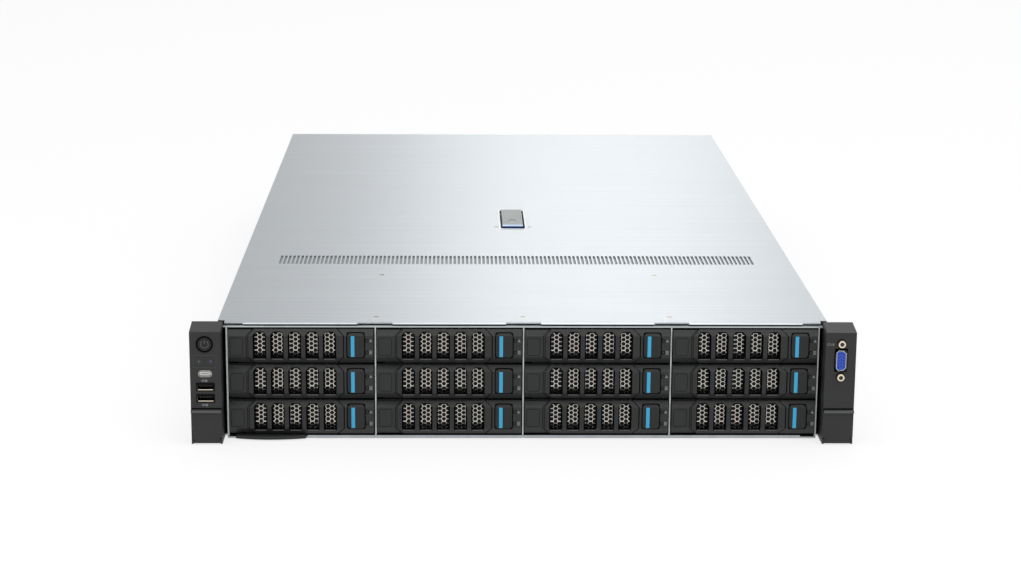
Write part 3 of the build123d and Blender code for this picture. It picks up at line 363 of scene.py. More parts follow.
# Blue PBT of the display connector, and its holes painted darker blue: painted shade in the holes
insert_blue = moulded_plastic("blue_pbt", "3A5BD0", 0.42, 0.3, 0.004)
hole_shade_blue = moulded_plastic("blue_pbt_painted_hole_shade", "1B2A78", 0.5, 0.3, 0.004)
# The latch's grip: deep blue on its face, and a pale blue painted highlight where its top edge takes the
# light
grip_blue = moulded_plastic("deep_blue_abs", "0B2E68", 0.4, 0.4, 0.006, 0.2)
grip_highlight_blue = moulded_plastic("blue_abs_painted_highlight", "A9CBF0", 0.34, 0.4, 0.006)
# Blue ABS that marks the release latches of the supplies
release_blue = moulded_plastic("blue_abs", "2A78B8", 0.4, 0.4, 0.006)
# Glass-filled PBT of the fans: black with a dull, even sheen
fan_pbt = moulded_plastic("black_pbt_glass_filled", "26272A", 0.48, 0.6)

# Paint, ink and lenses

# Grey powder coat of the latch, with its soft pebbles of 0.8 mm
powder_coat = moulded_plastic("grey_powder_coat", "989B9B", 0.45, 0.8, 0.006, 0.2)
# Stamped marks beside the latch, a dull grey on the bright cover
stamped_mark = moulded_plastic("grey_stamped_mark", "7C8184", 0.5, 0.5, 0.004, 0.1)
# The dark printed arc on the latch
arc_ink = moulded_plastic("dark_grey_ink", "4E4F4F", 0.5, 0.3, 0.004, 0.1)
# The sheared edge round the latch pan is painted near white: a painted highlight of its bevel, with no
# metal shine, so that it reads as white from every side
pan_edge_highlight = moulded_plastic("pan_edge_painted_highlight", "EDF1F4", 0.4, 0.4, 0.004)
# Grey ink of the power mark and the paler ink of the icons
glyph_ink = printed_or_lit("grey_ink", "55585A")
icon_ink = printed_or_lit("pale_grey_ink", "8A8D8E")
# Tinted lenses of two lamps that are off: only a hint of green and of blue
green_lens = printed_or_lit("green_lens_unlit", "4A5C56")
blue_lens = printed_or_lit("blue_lens_unlit", "3E446A")

# Metals

# Brushed zinc-coated steel of the cover: long soft streaks from side to side
cover_steel = brushed_sheet("brushed_steel", "C4C9CD", "X", 0.40)
# The rolled front hems, painted brighter than the sheet: a painted highlight where the rounded fold
# catches the light
hem_highlight_steel = brushed_sheet("hem_highlight_steel", "E6EEF3", "X", 0.34)
# The sheet under the vent slots, painted dull grey: partly its own grey and partly painted shade under the
# slots
vent_sheet_shade_steel = brushed_sheet("vent_sheet_painted_shade", "8F9898", "X", 0.5, 0.3)
# Supplies' cases: a darker brushed steel
supply_steel = brushed_sheet("brushed_supply_steel", "A9AEB1", "X", 0.38)
# Extruded aluminium fins, with fine draw lines along the air stream
fin_aluminium = brushed_sheet("extruded_aluminium", "C4C7C9", "Y", 0.32)
# Zinc-coated steel of the tray and the risers, and the smoother, lighter cage
tray_steel = zinc_sheet("zinc_coated_steel", "B3B8BA")
cage_steel = zinc_sheet("zinc_coated_steel_smooth", "BCC1C3", 0.32)
# Punched and nickel-plated screens: warm and soft in their shine
screen_steel = plated("nickel_plated_screen", "D6D2CA", 0.36, 2.0)
# Nickel plate of screws, grilles and pins, and the creamier one of the front sockets
nickel = plated("nickel_plate", "C9C3B6", 0.28)
cream_nickel = plated("cream_nickel_plate", "EADFC9", 0.30)
# Thin gold on contacts, painted brown as painted shade inside a socket
contact_gold_in_shade = plated("gold_plate_painted_shade", "5E4D2E", 0.35, 1.0)
# Tinned shells of ports, cool and clean
tinned_shell = plated("tin_plate", "C6C8C9", 0.30, 2.0)
# Satin nickel round the small socket
satin_nickel = plated("satin_nickel_plate", "A29E97", 0.36, 1.5)

# Boards

# Green solder mask with lighter tracks, and tinned ports where the board meets the rear wall
board_green = board_laminate("green_board_laminate", "12382A", "1F5A42", ports=True)
# Memory modules have a slightly lighter mask
memory_green = board_laminate("green_memory_laminate", "14402F", "225F48")


# Shape tools


def ring_points(width, height, corner, steps=5):
    """Corner points of a rounded rectangle around the origin."""
    points = []
    for cx, cy, turn in ((1, 1, 0), (-1, 1, 90), (-1, -1, 180), (1, -1, 270)):
        for step in range(steps + 1):
            angle = math.radians(turn + 90 * step / steps)
            across = cx * (width / 2 - corner) + corner * math.cos(angle)
            up = cy * (height / 2 - corner) + corner * math.sin(angle)
            points.append((across, up))
    return points


def circle_points(radius, count=32):
    """Points of a circle or a regular polygon around the origin."""
    turns = [2 * math.pi * i / count for i in range(count)]
    return [(radius * math.cos(turn), radius * math.sin(turn)) for turn in turns]


def spot(middle, point, depth, axis):
    """Place of an outline's point at a depth along an axis."""
    a, b = middle[0] + point[0], middle[1] + point[1]
    return {"Y": (a, depth, b), "Z": (a, b, depth), "X": (depth, a, b)}[axis]


def prism(shape, points, middle, low, high, axis="Y"):
    """Adds a closed prism: an outline drawn out along an axis."""
    first = [shape.verts.new(spot(middle, p, low, axis)) for p in points]
    last = [shape.verts.new(spot(middle, p, high, axis)) for p in points]
    shape.faces.new(first)
    shape.faces.new(last)
    for i in range(len(points)):
        j = (i + 1) % len(points)
        shape.faces.new((first[i], first[j], last[j], last[i]))


def close_ring(shape, rows):
    """Joins four closed outlines with as many points each into a ring."""
    count = len(rows[0])
    for i in range(count):
        j = (i + 1) % count
        for a in range(4):
            b = (a + 1) % 4
            shape.faces.new((rows[a][i], rows[a][j], rows[b][j], rows[b][i]))


def hoop(shape, outer, inner, middle, low, high, axis="Y"):
    """Adds a ring between two outlines with as many points each."""
    rows = []
    for points, depth in ((outer, low), (outer, high), (inner, high), (inner, low)):
        rows.append([shape.verts.new(spot(middle, p, depth, axis)) for p in points])
    close_ring(shape, rows)


def run_strip(shape, sections):
    """Joins four-cornered sections, one after another, into an open strip."""
    for first, last in zip(sections, sections[1:]):
        for a in range(4):
            b = (a + 1) % 4
            shape.faces.new((first[a], first[b], last[b], last[a]))


def slab(shape, x, y, z):
    """Adds a block between a low and a high value on each axis."""
    points = [(x[0], z[0]), (x[1], z[0]), (x[1], z[1]), (x[0], z[1])]
    prism(shape, points, (0, 0), y[0], y[1])


def round_edges(made, width, weld=False):
    """Rounds the sharp edges by a width in millimetres."""
    if weld:
        join = made.modifiers.new("weld", "WELD")
        join.merge_threshold = 0.000001
    edge = made.modifiers.new("bevel", "BEVEL")
    edge.width = width / 1000
    edge.segments = 2
    edge.limit_method = "ANGLE"
    edge.angle_limit = math.radians(28)
    edge.harden_normals = True
    edge.use_clamp_overlap = True


def make_mesh(name, shape, finish):
    """A mesh in metres from a shape in millimetres."""
    bmesh.ops.recalc_face_normals(shape, faces=shape.faces)
    bmesh.ops.scale(shape, vec=(0.001, 0.001, 0.001), verts=shape.verts)
    mesh = bpy.data.meshes.new(name)
    shape.to_mesh(mesh)
    shape.free()
    mesh.materials.append(finish)
    return mesh


def mount(name, mesh, body, place=(0, 0, 0), bevel=0.0):
    """Sets a mesh at its place, as a piece that rides on a body."""
    made = bpy.data.objects.new(name, mesh)
    made.location = Vector(place) / 1000
    bpy.context.scene.collection.objects.link(made)
    if bevel:
        round_edges(made, bevel)
    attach(made, body)


def piece(name, shape, finish, body, bevel=0.0):
    """Turns a shape in millimetres into a piece that rides on a body."""
    mount(name, make_mesh(name, shape, finish), body, bevel=bevel)


def dress(node, finish, bevel=0.0):
    """Gives a CAD node its material, and rounded edges where they show."""
    made = nodes[node]
    made.data.materials.clear()
    made.data.materials.append(finish)
    if bevel:
        round_edges(made, bevel, weld=True)


# Carriers


def screen_mesh():
    """A perforated screen with six-sided holes, a pressed bead and a lower end that falls back."""
    shape = bmesh.new()
    pitch, step, web, thick = 3.2, 2.88, 0.45, 0.6
    first_column, column_count, lowest, highest = 17.2, 23, 2.9, 24.4
    stretch = step / (pitch * math.sqrt(3) / 2)
    outer = [(p[0] * stretch, p[1]) for p in circle_points(pitch / math.sqrt(3), 6)]
    inner = [(p[0] * stretch, p[1]) for p in circle_points((pitch - web) / math.sqrt(3), 6)]
    profile = [(2.0, 0.8), (7.9, -1.7), (9.1, -2.1), (10.7, -1.2), (26.0, -1.2)]

    def bend(u, v, depth):
        """Place of a point of the flat screen once it is pressed."""
        for low, high in zip(profile, profile[1:]):
            if v <= high[0]:
                share = (v - low[0]) / (high[0] - low[0])
                return u, low[1] + share * (high[1] - low[1]) + depth, v
        return u, profile[-1][1] + depth, v

    for index in range(column_count):
        u = first_column + step * index
        v = lowest + (pitch / 2 if index % 2 else 0.0)
        while v < highest:
            rows = []
            for points, depth in ((outer, 0.0), (inner, 0.0), (inner, thick)):
                rows.append([shape.verts.new(bend(u + p[0], v + p[1], depth)) for p in points])
            for i in range(6):
                j = (i + 1) % 6
                shape.faces.new((rows[0][i], rows[0][j], rows[1][j], rows[1][i]))
                shape.faces.new((rows[1][i], rows[1][j], rows[2][j], rows[2][i]))
            v += pitch
    bmesh.ops.remove_doubles(shape, verts=shape.verts, dist=0.02)
    return make_mesh("screen", shape, screen_steel)


def on_bezel(v):
    """Depth of the bezel's outer face at a height above its foot."""
    if v < LOWER_FOLD:
        return BEZEL_FRONT + (LOWER_FOLD - v) / LOWER_FOLD * SLOPE_DEPTH
    if v > UPPER_FOLD:
        return BEZEL_FRONT + (v - UPPER_FOLD) / (BEZEL_TOP - UPPER_FOLD) * SLOPE_DEPTH
    return BEZEL_FRONT


def finely(points, longest=0.9):
    """The same closed outline with its long sides cut into short steps."""
    made = []
    for first, last in zip(points, points[1:] + points[:1]):
        count = max(1, math.ceil(math.dist(first, last) / longest))
        dx, dy = last[0] - first[0], last[1] - first[1]
        made += [(first[0] + dx * i / count, first[1] + dy * i / count) for i in range(count)]
    return made


def bezel_hoop(shape, outer, inner, middle, proud, sunk):
    """Adds a ring that follows the sloping faces of a bezel."""
    rows = []
    for points, lift in ((outer, -proud), (outer, sunk), (inner, sunk), (inner, -proud)):
        row = []
        for p in points:
            u, v = middle[0] + p[0], middle[1] + p[1]
            row.append(shape.verts.new((u, on_bezel(v) + lift, v)))
        rows.append(row)
    close_ring(shape, rows)


def bezel_line(shape, path, width, proud, sunk):
    """Adds a thin upright strip along a path of (u, v) points on the bezel."""
    sections = []
    for u, v in path:
        near, far = on_bezel(v) - proud, on_bezel(v) + sunk
        corners = ((u, near, v), (u + width, near, v), (u + width, far, v), (u, far, v))
        sections.append([shape.verts.new(corner) for corner in corners])
    run_strip(shape, sections)
    shape.faces.new(sections[0])
    shape.faces.new(sections[-1])


def label_frame():
    """The faint outline of the label recess, painted darker as painted shade in its groove."""
    shape = bmesh.new()
    outer, inner = ring_points(9.6, 13.5, 1.6), ring_points(9.0, 12.9, 1.3)
    hoop(shape, outer, inner, LABEL_MIDDLE, BEZEL_FRONT + 0.42, BEZEL_FRONT + 0.62)
    return make_mesh("label_frame", shape, groove_shade_black)


def chevron_lines():
    """Two fine grooves where the label end steps up to the vented part, painted darker as painted shade.
    """
    shape = bmesh.new()
    lean, foot, head = 4.55, 0.15, 25.15
    for u, sunk in ((13.15, 0.47), (14.45, 0.0)):
        path = [(u + lean, foot), (u, LOWER_FOLD), (u, UPPER_FOLD), (u + lean, head)]
        bezel_line(shape, path, 0.42, 0.03 - sunk, sunk + 0.3)
    return make_mesh("chevron_lines", shape, groove_shade_black)


def button_groove():
    """The dark rounded frame round a release button, on the bezel's sloping faces too."""
    shape = bmesh.new()
    outer_width, outer_height, inner_width, inner_height = 13.8, 19.4, 12.3, 18.0
    outer = finely(ring_points(outer_width, outer_height, 2.6))
    inner = [(p[0] * inner_width / outer_width, p[1] * inner_height / outer_height) for p in outer]
    bezel_hoop(shape, outer, inner, BUTTON_MIDDLE, 0.03, 0.5)
    return make_mesh("button_groove", shape, joint_and_shade_black)


def window_sills():
    """Lower lips of the five windows, painted mid grey as a painted highlight."""
    shape = bmesh.new()
    depth, rise = (BEZEL_FRONT + 1.35, BEZEL_FRONT + 2.1), (2.95, 3.4)
    for window in range(WINDOW_COUNT):
        left = FIRST_WINDOW + window * WINDOW_PITCH
        slab(shape, (left + 0.8, left + 9.0), depth, rise)
    return make_mesh("window_sills", shape, sill_highlight_abs)


def window_shade_frames():
    """Inner frames of the five windows, just behind the moulded front, painted black as painted shade
    inside the windows.
    """
    shape = bmesh.new()
    outer, inner = ring_points(9.9, 20.9, 2.3), ring_points(7.7, 18.8, 1.7)
    first, level = FIRST_WINDOW_MIDDLE
    for window in range(WINDOW_COUNT):
        middle = (first + window * WINDOW_PITCH, level)
        hoop(shape, outer, inner, middle, BEZEL_FRONT + 2.6, BEZEL_FRONT + 4.3)
    return make_mesh("window_shade_frames", shape, joint_and_shade_black)


def status_marks():
    """A small triangle and a stack of three bars printed beside the lamps."""
    shape = bmesh.new()
    depth = (BEZEL_FRONT - 0.03, BEZEL_FRONT + 0.2)
    prism(shape, [(-1.15, -0.95), (1.15, -0.95), (0.0, 1.15)], (MARK_COLUMN, UPPER_LAMP), *depth)
    for rise in (-1.0, 0.0, 1.0):
        slab(shape, (102.5, 104.7), depth, (LOWER_LAMP + rise - 0.32, LOWER_LAMP + rise + 0.32))
    return make_mesh("status_marks", shape, icon_ink)


def status_lamps():
    """Two small square lamps, unlit, each in a dark rim."""
    shape = bmesh.new()
    rim, lens = ring_points(2.3, 2.7, 0.7), ring_points(1.5, 1.9, 0.4)
    for level in (UPPER_LAMP, LOWER_LAMP):
        hoop(shape, rim, lens, (LAMP_COLUMN, level), BEZEL_FRONT - 0.06, BEZEL_FRONT + 0.3)
        prism(shape, lens, (LAMP_COLUMN, level), BEZEL_FRONT + 0.02, BEZEL_FRONT + 0.3)
    return make_mesh("status_lamps", shape, joint_and_shade_black)


def dress_carriers():
    """Every carrier with its handle, button, screen and marks."""
    carrier_look, button_look = carrier_finish(), button_finish()
    on_carrier = {
        "screen": (screen_mesh(), "nickel_steel"),
        "button_groove": (button_groove(), "black_plastic"),
        "status_marks": (status_marks(), "nickel_steel"),
        "status_lamps": (status_lamps(), "black_plastic"),
    }
    on_handle = {
        "label_frame": (label_frame(), "black_plastic"),
        "chevron_lines": (chevron_lines(), "black_plastic"),
        "window_sills": (window_sills(), "black_plastic"),
        "window_shade_frames": (window_shade_frames(), "black_plastic"),
    }
    for index, (column, row) in enumerate(BAYS):
        number = f"{index + 1:02d}"
        x, z = bay_corner(column, row)
        dress(f"carrier_{number}", carrier_look)
        dress(f"carrier_handle_{number}", bezel_abs, 0.3)
        dress(f"carrier_button_{number}", button_look, 0.3)
        for body, trim in (("carrier", on_carrier), ("carrier_handle", on_handle)):
            for name, (mesh, slot) in trim.items():
                mount(f"{name}_{number}", mesh, f"{body}_{number}", place=(x, 0, z))


# Ears


def power_glyph():
    """A ring with a short bar through its open top."""
    shape = bmesh.new()
    steps, gap = 28, math.radians(34)
    inner, outer = 2.45, 3.05
    x, z = -CONTROL_X, POWER_Z
    near, far = EAR_FRONT + 0.12, EAR_FRONT + 0.4
    sections = []
    for i in range(steps + 1):
        angle = math.pi / 2 + gap + (2 * math.pi - 2 * gap) * i / steps
        across, up = math.cos(angle), math.sin(angle)
        corners = ((inner, near), (outer, near), (outer, far), (inner, far))
        sections.append([shape.verts.new((x + r * across, y, z + r * up)) for r, y in corners])
    run_strip(shape, sections)
    slab(shape, (x - 0.35, x + 0.35), (near, far), (z + 0.4, z + 2.9))
    piece("power_glyph", shape, glyph_ink, "power_button")


def power_rings():
    """The faint raised rim round the power button and the black edge of its face."""
    middle = (-CONTROL_X, POWER_Z)
    shape = bmesh.new()
    rim, bore = circle_points(7.3, 48), circle_points(6.6, 48)
    hoop(shape, rim, bore, middle, EAR_FRONT - 0.25, EAR_FRONT + 0.6)
    piece("power_rim", shape, ear_abs, "chassis", 0.2)
    shape = bmesh.new()
    edge, face = circle_points(5.78, 48), circle_points(4.95, 48)
    hoop(shape, edge, face, middle, EAR_FRONT + 0.05, EAR_FRONT + 0.5)
    piece("power_face_rim", shape, joint_and_shade_black, "power_button", 0.12)


def lamp_window():
    """The thin frame of the lamp window with its two dim lamps."""
    shape = bmesh.new()
    outer, inner = ring_points(16.7, 9.5, 1.9), ring_points(15.9, 8.7, 1.6)
    hoop(shape, outer, inner, (-CONTROL_X, LAMP_WINDOW_Z), EAR_FRONT - 0.05, EAR_FRONT + 0.38)
    piece("lamp_window_frame", shape, window_edge, "chassis", 0.08)
    depth = (EAR_FRONT + 0.25, EAR_FRONT + 0.5)
    shape = bmesh.new()
    prism(shape, [(-1.35, -0.9), (1.35, -0.9), (0, 1.2)], (-234.6, LAMP_WINDOW_Z), *depth)
    piece("lamp_warning", shape, green_lens, "chassis")
    shape = bmesh.new()
    prism(shape, circle_points(1.15, 20), (-226.2, LAMP_WINDOW_Z), *depth)
    piece("lamp_locate", shape, blue_lens, "chassis")


def usb_socket(name, x, z, front, inward):
    """A USB socket: rim, dark throat, bright lip, tongue and contacts. Inward is 1 or -1 along Y."""

    def depth(low, high):
        """Two depths behind the socket's face, the lower one first."""
        return sorted((front + inward * low, front + inward * high))

    shape = bmesh.new()
    hoop(shape, ring_points(14.0, 7.0, 0.8), ring_points(12.4, 5.4, 0.5), (x, z), *depth(0, 1.2))
    piece(f"{name}_rim", shape, socket_nylon, "chassis", 0.12)
    shape = bmesh.new()
    hoop(shape, ring_points(12.42, 5.42, 0.5), ring_points(11.9, 4.9, 0.4), (x, z), *depth(0.15, 9))
    piece(f"{name}_shell", shape, socket_nylon, "chassis")
    shape = bmesh.new()
    slab(shape, (x - 5.5, x + 5.5), depth(0.2, 1.6), (z - 2.6, z - 1.9))
    slab(shape, (x - 6.1, x - 5.9), depth(0.2, 1.6), (z - 1.3, z + 2.0))
    piece(f"{name}_lip", shape, cream_nickel, "chassis", 0.1)
    shape = bmesh.new()
    slab(shape, (x - 5.2, x + 5.2), depth(1.4, 9.5), (z + 0.1, z + 1.6))
    piece(f"{name}_tongue", shape, socket_nylon, "chassis", 0.1)
    shape = bmesh.new()
    for offset in (-3.5, -1.0, 1.0, 3.5):
        slab(shape, (x + offset - 0.35, x + offset + 0.35), depth(1.3, 8.0), (z - 0.05, z + 0.3))
    piece(f"{name}_contacts", shape, contact_gold_in_shade, "chassis")


def small_socket():
    """The small reversible socket: a silver throat with its tongue."""
    middle = (-CONTROL_X, SMALL_SOCKET_Z)
    shape = bmesh.new()
    outer, inner = ring_points(10.3, 5.1, 2.5), ring_points(8.6, 3.5, 1.7)
    hoop(shape, outer, inner, middle, EAR_FRONT - 0.12, EAR_FRONT + 1.2)
    piece("small_socket_rim", shape, satin_nickel, "chassis", 0.15)
    shape = bmesh.new()
    prism(shape, ring_points(8.5, 3.4, 1.65), middle, EAR_FRONT + 0.4, EAR_FRONT + 1.0)
    piece("small_socket_bed", shape, tinned_shell, "chassis")
    shape = bmesh.new()
    prism(shape, ring_points(6.0, 0.7, 0.3), middle, EAR_FRONT + 0.25, EAR_FRONT + 0.7)
    piece("small_socket_tongue", shape, grey_nylon, "chassis", 0.08)


def socket_icons():
    """Small pale icons above and below the USB sockets."""
    shape = bmesh.new()
    depth = (EAR_FRONT - 0.04, EAR_FRONT + 0.2)
    for z in (48.1, 29.8):
        prism(shape, circle_points(0.75, 12), (-232.3, z), *depth)
        prism(shape, circle_points(1.0, 12), (-229.8, z), *depth)
        slab(shape, (-232.0, -229.8), depth, (z - 0.14, z + 0.14))
        prism(shape, [(-0.7, -0.5), (0.7, 0), (-0.7, 0.5)], (-231.4, z + 0.62), *depth)
    piece("socket_icons", shape, icon_ink, "chassis")


def display_outline(inset):
    """D shape of the display connector, shorter on its right side, with clipped corners."""
    side = 3.65 - inset
    high_left, high_right = 7.9 - inset, 7.2 - inset
    clip = 1.9 - inset * 0.5
    return [
        (clip - side, high_left),
        (-side, high_left - clip),
        (-side, clip - high_left),
        (clip - side, -high_left),
        (side - clip, -high_right),
        (side, clip - high_right),
        (side, high_right - clip),
        (side - clip, high_right),
    ]


def display_socket():
    """Display connector: a black patch painted as the shade of its recess, silver rim, and a blue insert
    with fifteen holes painted darker blue as painted shade.
    """
    middle = (CONTROL_X, DISPLAY_Z)
    front = EAR_FRONT - 1.5
    # A thin black patch on the ear's face: painted shade of the connector's recess.
    shape = bmesh.new()
    prism(shape, ring_points(10.0, 17.9, 3.4), middle, EAR_FRONT - 0.06, EAR_FRONT + 0.1)
    piece("display_recess_shade", shape, joint_and_shade_black, "chassis")
    shape = bmesh.new()
    hoop(shape, display_outline(0.0), display_outline(0.5), middle, front - 0.02, front + 1.4)
    piece("display_rim", shape, tinned_shell, "chassis", 0.12)
    shape = bmesh.new()
    prism(shape, display_outline(0.55), middle, front + 0.25, front + 1.2)
    piece("display_insert", shape, insert_blue, "chassis", 0.1)
    # The holes are painted darker blue: painted shade.
    shape = bmesh.new()
    for column in range(3):
        for row in range(5):
            hole_x = CONTROL_X + (column - 1) * 1.85
            hole_z = DISPLAY_Z + (row - 2) * 2.4 + (0.6 if column == 1 else 0.0)
            prism(shape, circle_points(0.55, 10), (hole_x, hole_z), front + 0.2, front + 0.8)
    piece("display_holes", shape, hole_shade_blue, "chassis")


def jackscrews():
    """The two threaded posts of the display connector, each in a round seat, with a black plug of painted
    shade in each bore.
    """
    for number, level in enumerate((DISPLAY_Z + JACKSCREW_RISE, DISPLAY_Z - JACKSCREW_RISE), 1):
        middle = (CONTROL_X, level)
        shape = bmesh.new()
        post, bore = circle_points(2.75, 24), circle_points(1.15, 24)
        hoop(shape, post, bore, middle, EAR_FRONT - 3.02, EAR_FRONT - 0.1)
        piece(f"jackscrew_{number}", shape, cream_nickel, "chassis", 0.45)
        # A black plug in the bore: painted shade inside the threaded hole.
        shape = bmesh.new()
        prism(shape, circle_points(1.2, 16), middle, EAR_FRONT - 2.2, EAR_FRONT - 0.1)
        piece(f"jackscrew_bore_shade_{number}", shape, joint_and_shade_black, "chassis")
        shape = bmesh.new()
        seat, hole = circle_points(3.5, 32), circle_points(2.7, 32)
        hoop(shape, seat, hole, middle, EAR_FRONT - 0.25, EAR_FRONT + 0.1)
        piece(f"jackscrew_seat_{number}", shape, socket_nylon, "chassis")


def display_icon():
    """A small screen icon beside the display connector."""
    shape = bmesh.new()
    depth = (EAR_FRONT - 0.04, EAR_FRONT + 0.2)
    outer, inner = ring_points(2.2, 1.6, 0.2), ring_points(1.6, 1.0, 0.15)
    hoop(shape, outer, inner, (221.3, 75.8), *depth)
    slab(shape, (223.1, 223.5), depth, (75.0, 76.6))
    for low, high in ((76.2, 76.6), (75.6, 76.0), (75.0, 75.4)):
        slab(shape, (223.9, 224.9), depth, (low, high))
    piece("display_icon", shape, icon_ink, "chassis")


def flap_grips():
    """The finger ridge along each flap, painted lighter grey as a painted highlight, and the dark joint
    above it.
    """
    profile = [(-19.12, 24.4), (-19.12, 26.0), (-18.7, 26.43), (-17.2, 26.43), (-17.2, 24.4)]
    for name, middle in (("left", -FLAP_MIDDLE), ("right", FLAP_MIDDLE)):
        shape = bmesh.new()
        prism(shape, profile, (0, 0), middle - 10.9, middle + 10.9, "X")
        piece(f"{name}_flap_grip", shape, ridge_highlight_abs, f"{name}_ear_flap", 0.2)
        shape = bmesh.new()
        span = (middle - 11.0, middle + 11.0)
        slab(shape, span, (EAR_FRONT - 0.03, EAR_FRONT + 0.3), (26.75, 27.6))
        piece(f"{name}_flap_joint", shape, joint_and_shade_black, "chassis")


def dress_ears():
    """Both ears with their controls, sockets, flaps and screws."""
    dress("left_ear", ear_abs, 0.3)
    dress("right_ear", ear_abs, 0.3)
    dress("left_ear_flap", ear_abs, 0.15)
    dress("right_ear_flap", ear_abs, 0.15)
    flap_grips()
    dress("power_button", button_abs, 0.4)
    dress("rack_screws", nickel, 0.3)
    power_glyph()
    power_rings()
    lamp_window()
    small_socket()
    usb_socket("usb_upper", -CONTROL_X, UPPER_USB_Z, EAR_FRONT, 1)
    usb_socket("usb_lower", -CONTROL_X, LOWER_USB_Z, EAR_FRONT, 1)
    socket_icons()
    display_socket()
    jackscrews()
    display_icon()


# Cover


def pan_rim():
    """The sheared rim of the latch pan, painted light as a painted highlight."""
    shape = bmesh.new()
    outer, inner = ring_points(23.6, 80.0, 2.0), ring_points(21.0, 76.0, 1.0)
    hoop(shape, outer, inner, (0, 365), CASE_TOP - 0.1, CASE_TOP + 0.03, axis="Z")
    piece("pan_rim", shape, pan_edge_highlight, "top_cover")


def lock_marks():
    """Two faint stamped marks, one on each side of the latch."""
    shape = bmesh.new()
    for left, right in ((-16.0, -12.4), (13.0, 16.4)):
        corners = [(left, -1.2), (right, -1.2), (right, 1.2), (left, 1.2)]
        prism(shape, corners, (0, 333), CASE_TOP - 0.1, CASE_TOP + 0.03, axis="Z")
    piece("lock_marks", shape, stamped_mark, "top_cover")


def front_hems():
    """The rolled hems of the cover's front edge, one over each column of bays, painted bright as a painted
    highlight.
    """
    shape = bmesh.new()
    for middle in (-162.8, -54.0, 54.4, 162.8):
        slab(shape, (middle - 41.5, middle + 41.5), (-0.3, 0.9), (86.1, 87.03))
    piece("front_hems", shape, hem_highlight_steel, "top_cover", 0.3)


def vent_backing():
    """The grey sheet that is seen through the vent slots; its dull grey is partly painted shade."""
    shape = bmesh.new()
    slab(shape, (-204, 204), (186, 224), (85.3, 85.7))
    piece("vent_backing", shape, vent_sheet_shade_steel, "top_cover", 0.1)


def front_pads_and_shade():
    """Black pads behind the ears, and painted shade: a black strip over the top carriers that hides the
    gap there, and a black strip left of each divider.
    """
    shape = bmesh.new()
    for side in (-1, 1):
        slab(shape, sorted((side * 217.9, side * 222.9)), (3.2, 7.9), (85.2, 86.6))
    # Painted shade: a black strip that hides the gap above the top carriers.
    slab(shape, (-214.5, 214.5), (-1.45, -0.7), (83.25, 84.8))
    # Painted shade: a thin black strip left of each divider.
    for column in range(-1, 3):
        divider = column * BAY_PITCH
        slab(shape, (divider - 0.72, divider - 0.36), (-1.62, -1.3), (3.0, 84.0))
    piece("front_pads_and_shade", shape, joint_and_shade_black, "chassis")


def cover_rivets():
    """Low dished rivet heads in the five dimples of the cover."""
    places = [(x, 18.5) for x in (-108, 0, 108)] + [(-108, 152), (108, 152)]
    shape = bmesh.new()
    head, dish, shank = circle_points(2.5, 24), circle_points(1.7, 24), circle_points(1.2, 24)
    for place in places:
        hoop(shape, head, dish, place, CASE_TOP - 0.3, CASE_TOP + 0.02, axis="Z")
        prism(shape, shank, place, CASE_TOP - 0.6, CASE_TOP - 0.25, axis="Z")
    piece("cover_rivets", shape, nickel, "top_cover", 0.12)


def latch_grip():
    """The blue grip of the latch: its deep blue face and the pale blue painted highlight along its top
    edge.
    """
    shape = bmesh.new()
    slab(shape, (-8.9, 8.9), (327.9, 330.2), (82.4, 88.43))
    piece("latch_grip_face", shape, grip_blue, "cover_latch", 0.1)
    shape = bmesh.new()
    slab(shape, (-8.9, 8.9), (330.2, 335.8), (88.15, 88.43))
    piece("latch_grip_edge", shape, grip_highlight_blue, "cover_latch", 0.1)


def latch_arc():
    """The small arc printed on the plate of the latch, drawn long towards the rear."""
    shape = bmesh.new()
    inner, outer, stretch, steps, middle_y = 3.1, 3.9, 2.6, 12, 348
    low, high = 88.38, 88.43
    sections = []
    for step in range(steps + 1):
        angle = math.radians(25 + 130 * step / steps)
        across, along = math.cos(angle), math.sin(angle)
        section = []
        for radius, z in ((inner, low), (outer, low), (outer, high), (inner, high)):
            section.append(shape.verts.new((radius * across, middle_y + radius * along * stretch, z)))
        sections.append(section)
    run_strip(shape, sections)
    piece("latch_arc", shape, arc_ink, "cover_latch")


def dress_cover():
    """Top cover with its marks, rivets and latch."""
    dress("top_cover", cover_steel)
    dress("cover_latch", powder_coat, 0.4)
    pan_rim()
    lock_marks()
    front_hems()
    vent_backing()
    front_pads_and_shade()
    cover_rivets()
    latch_grip()
    latch_arc()


# Inside and rear


def supply_grille(number, level):
    """Five rings and six bars of wire over a supply's fan, and the dark bed behind them."""
    body = f"power_supply_{number}"
    middle = (SUPPLY_LEFT + SUPPLY_FAN_FROM_LEFT, level)
    reach, half_bar = 16.4, 0.45
    shape = bmesh.new()
    for radius in (4.0, 7.0, 10.0, 13.0, 16.0):
        wire, hole = circle_points(radius, 40), circle_points(radius - 0.8, 40)
        hoop(shape, wire, hole, middle, SUPPLY_BACK - 0.9, SUPPLY_BACK - 0.2)
    for turn in range(6):
        angle = math.pi * turn / 6
        cx, cz = -math.sin(angle) * half_bar, math.cos(angle) * half_bar
        ax, az = math.cos(angle) * reach, math.sin(angle) * reach
        points = [(ax + cx, az + cz), (-ax + cx, -az + cz), (-ax - cx, -az - cz), (ax - cx, az - cz)]
        prism(shape, points, middle, SUPPLY_BACK - 1.3, SUPPLY_BACK - 0.9)
    piece(f"supply_grille_{number}", shape, nickel, body)
    shape = bmesh.new()
    prism(shape, circle_points(16.3, 40), middle, SUPPLY_BACK - 1.98, SUPPLY_BACK - 1.5)
    piece(f"supply_fan_bed_{number}", shape, joint_and_shade_black, body)


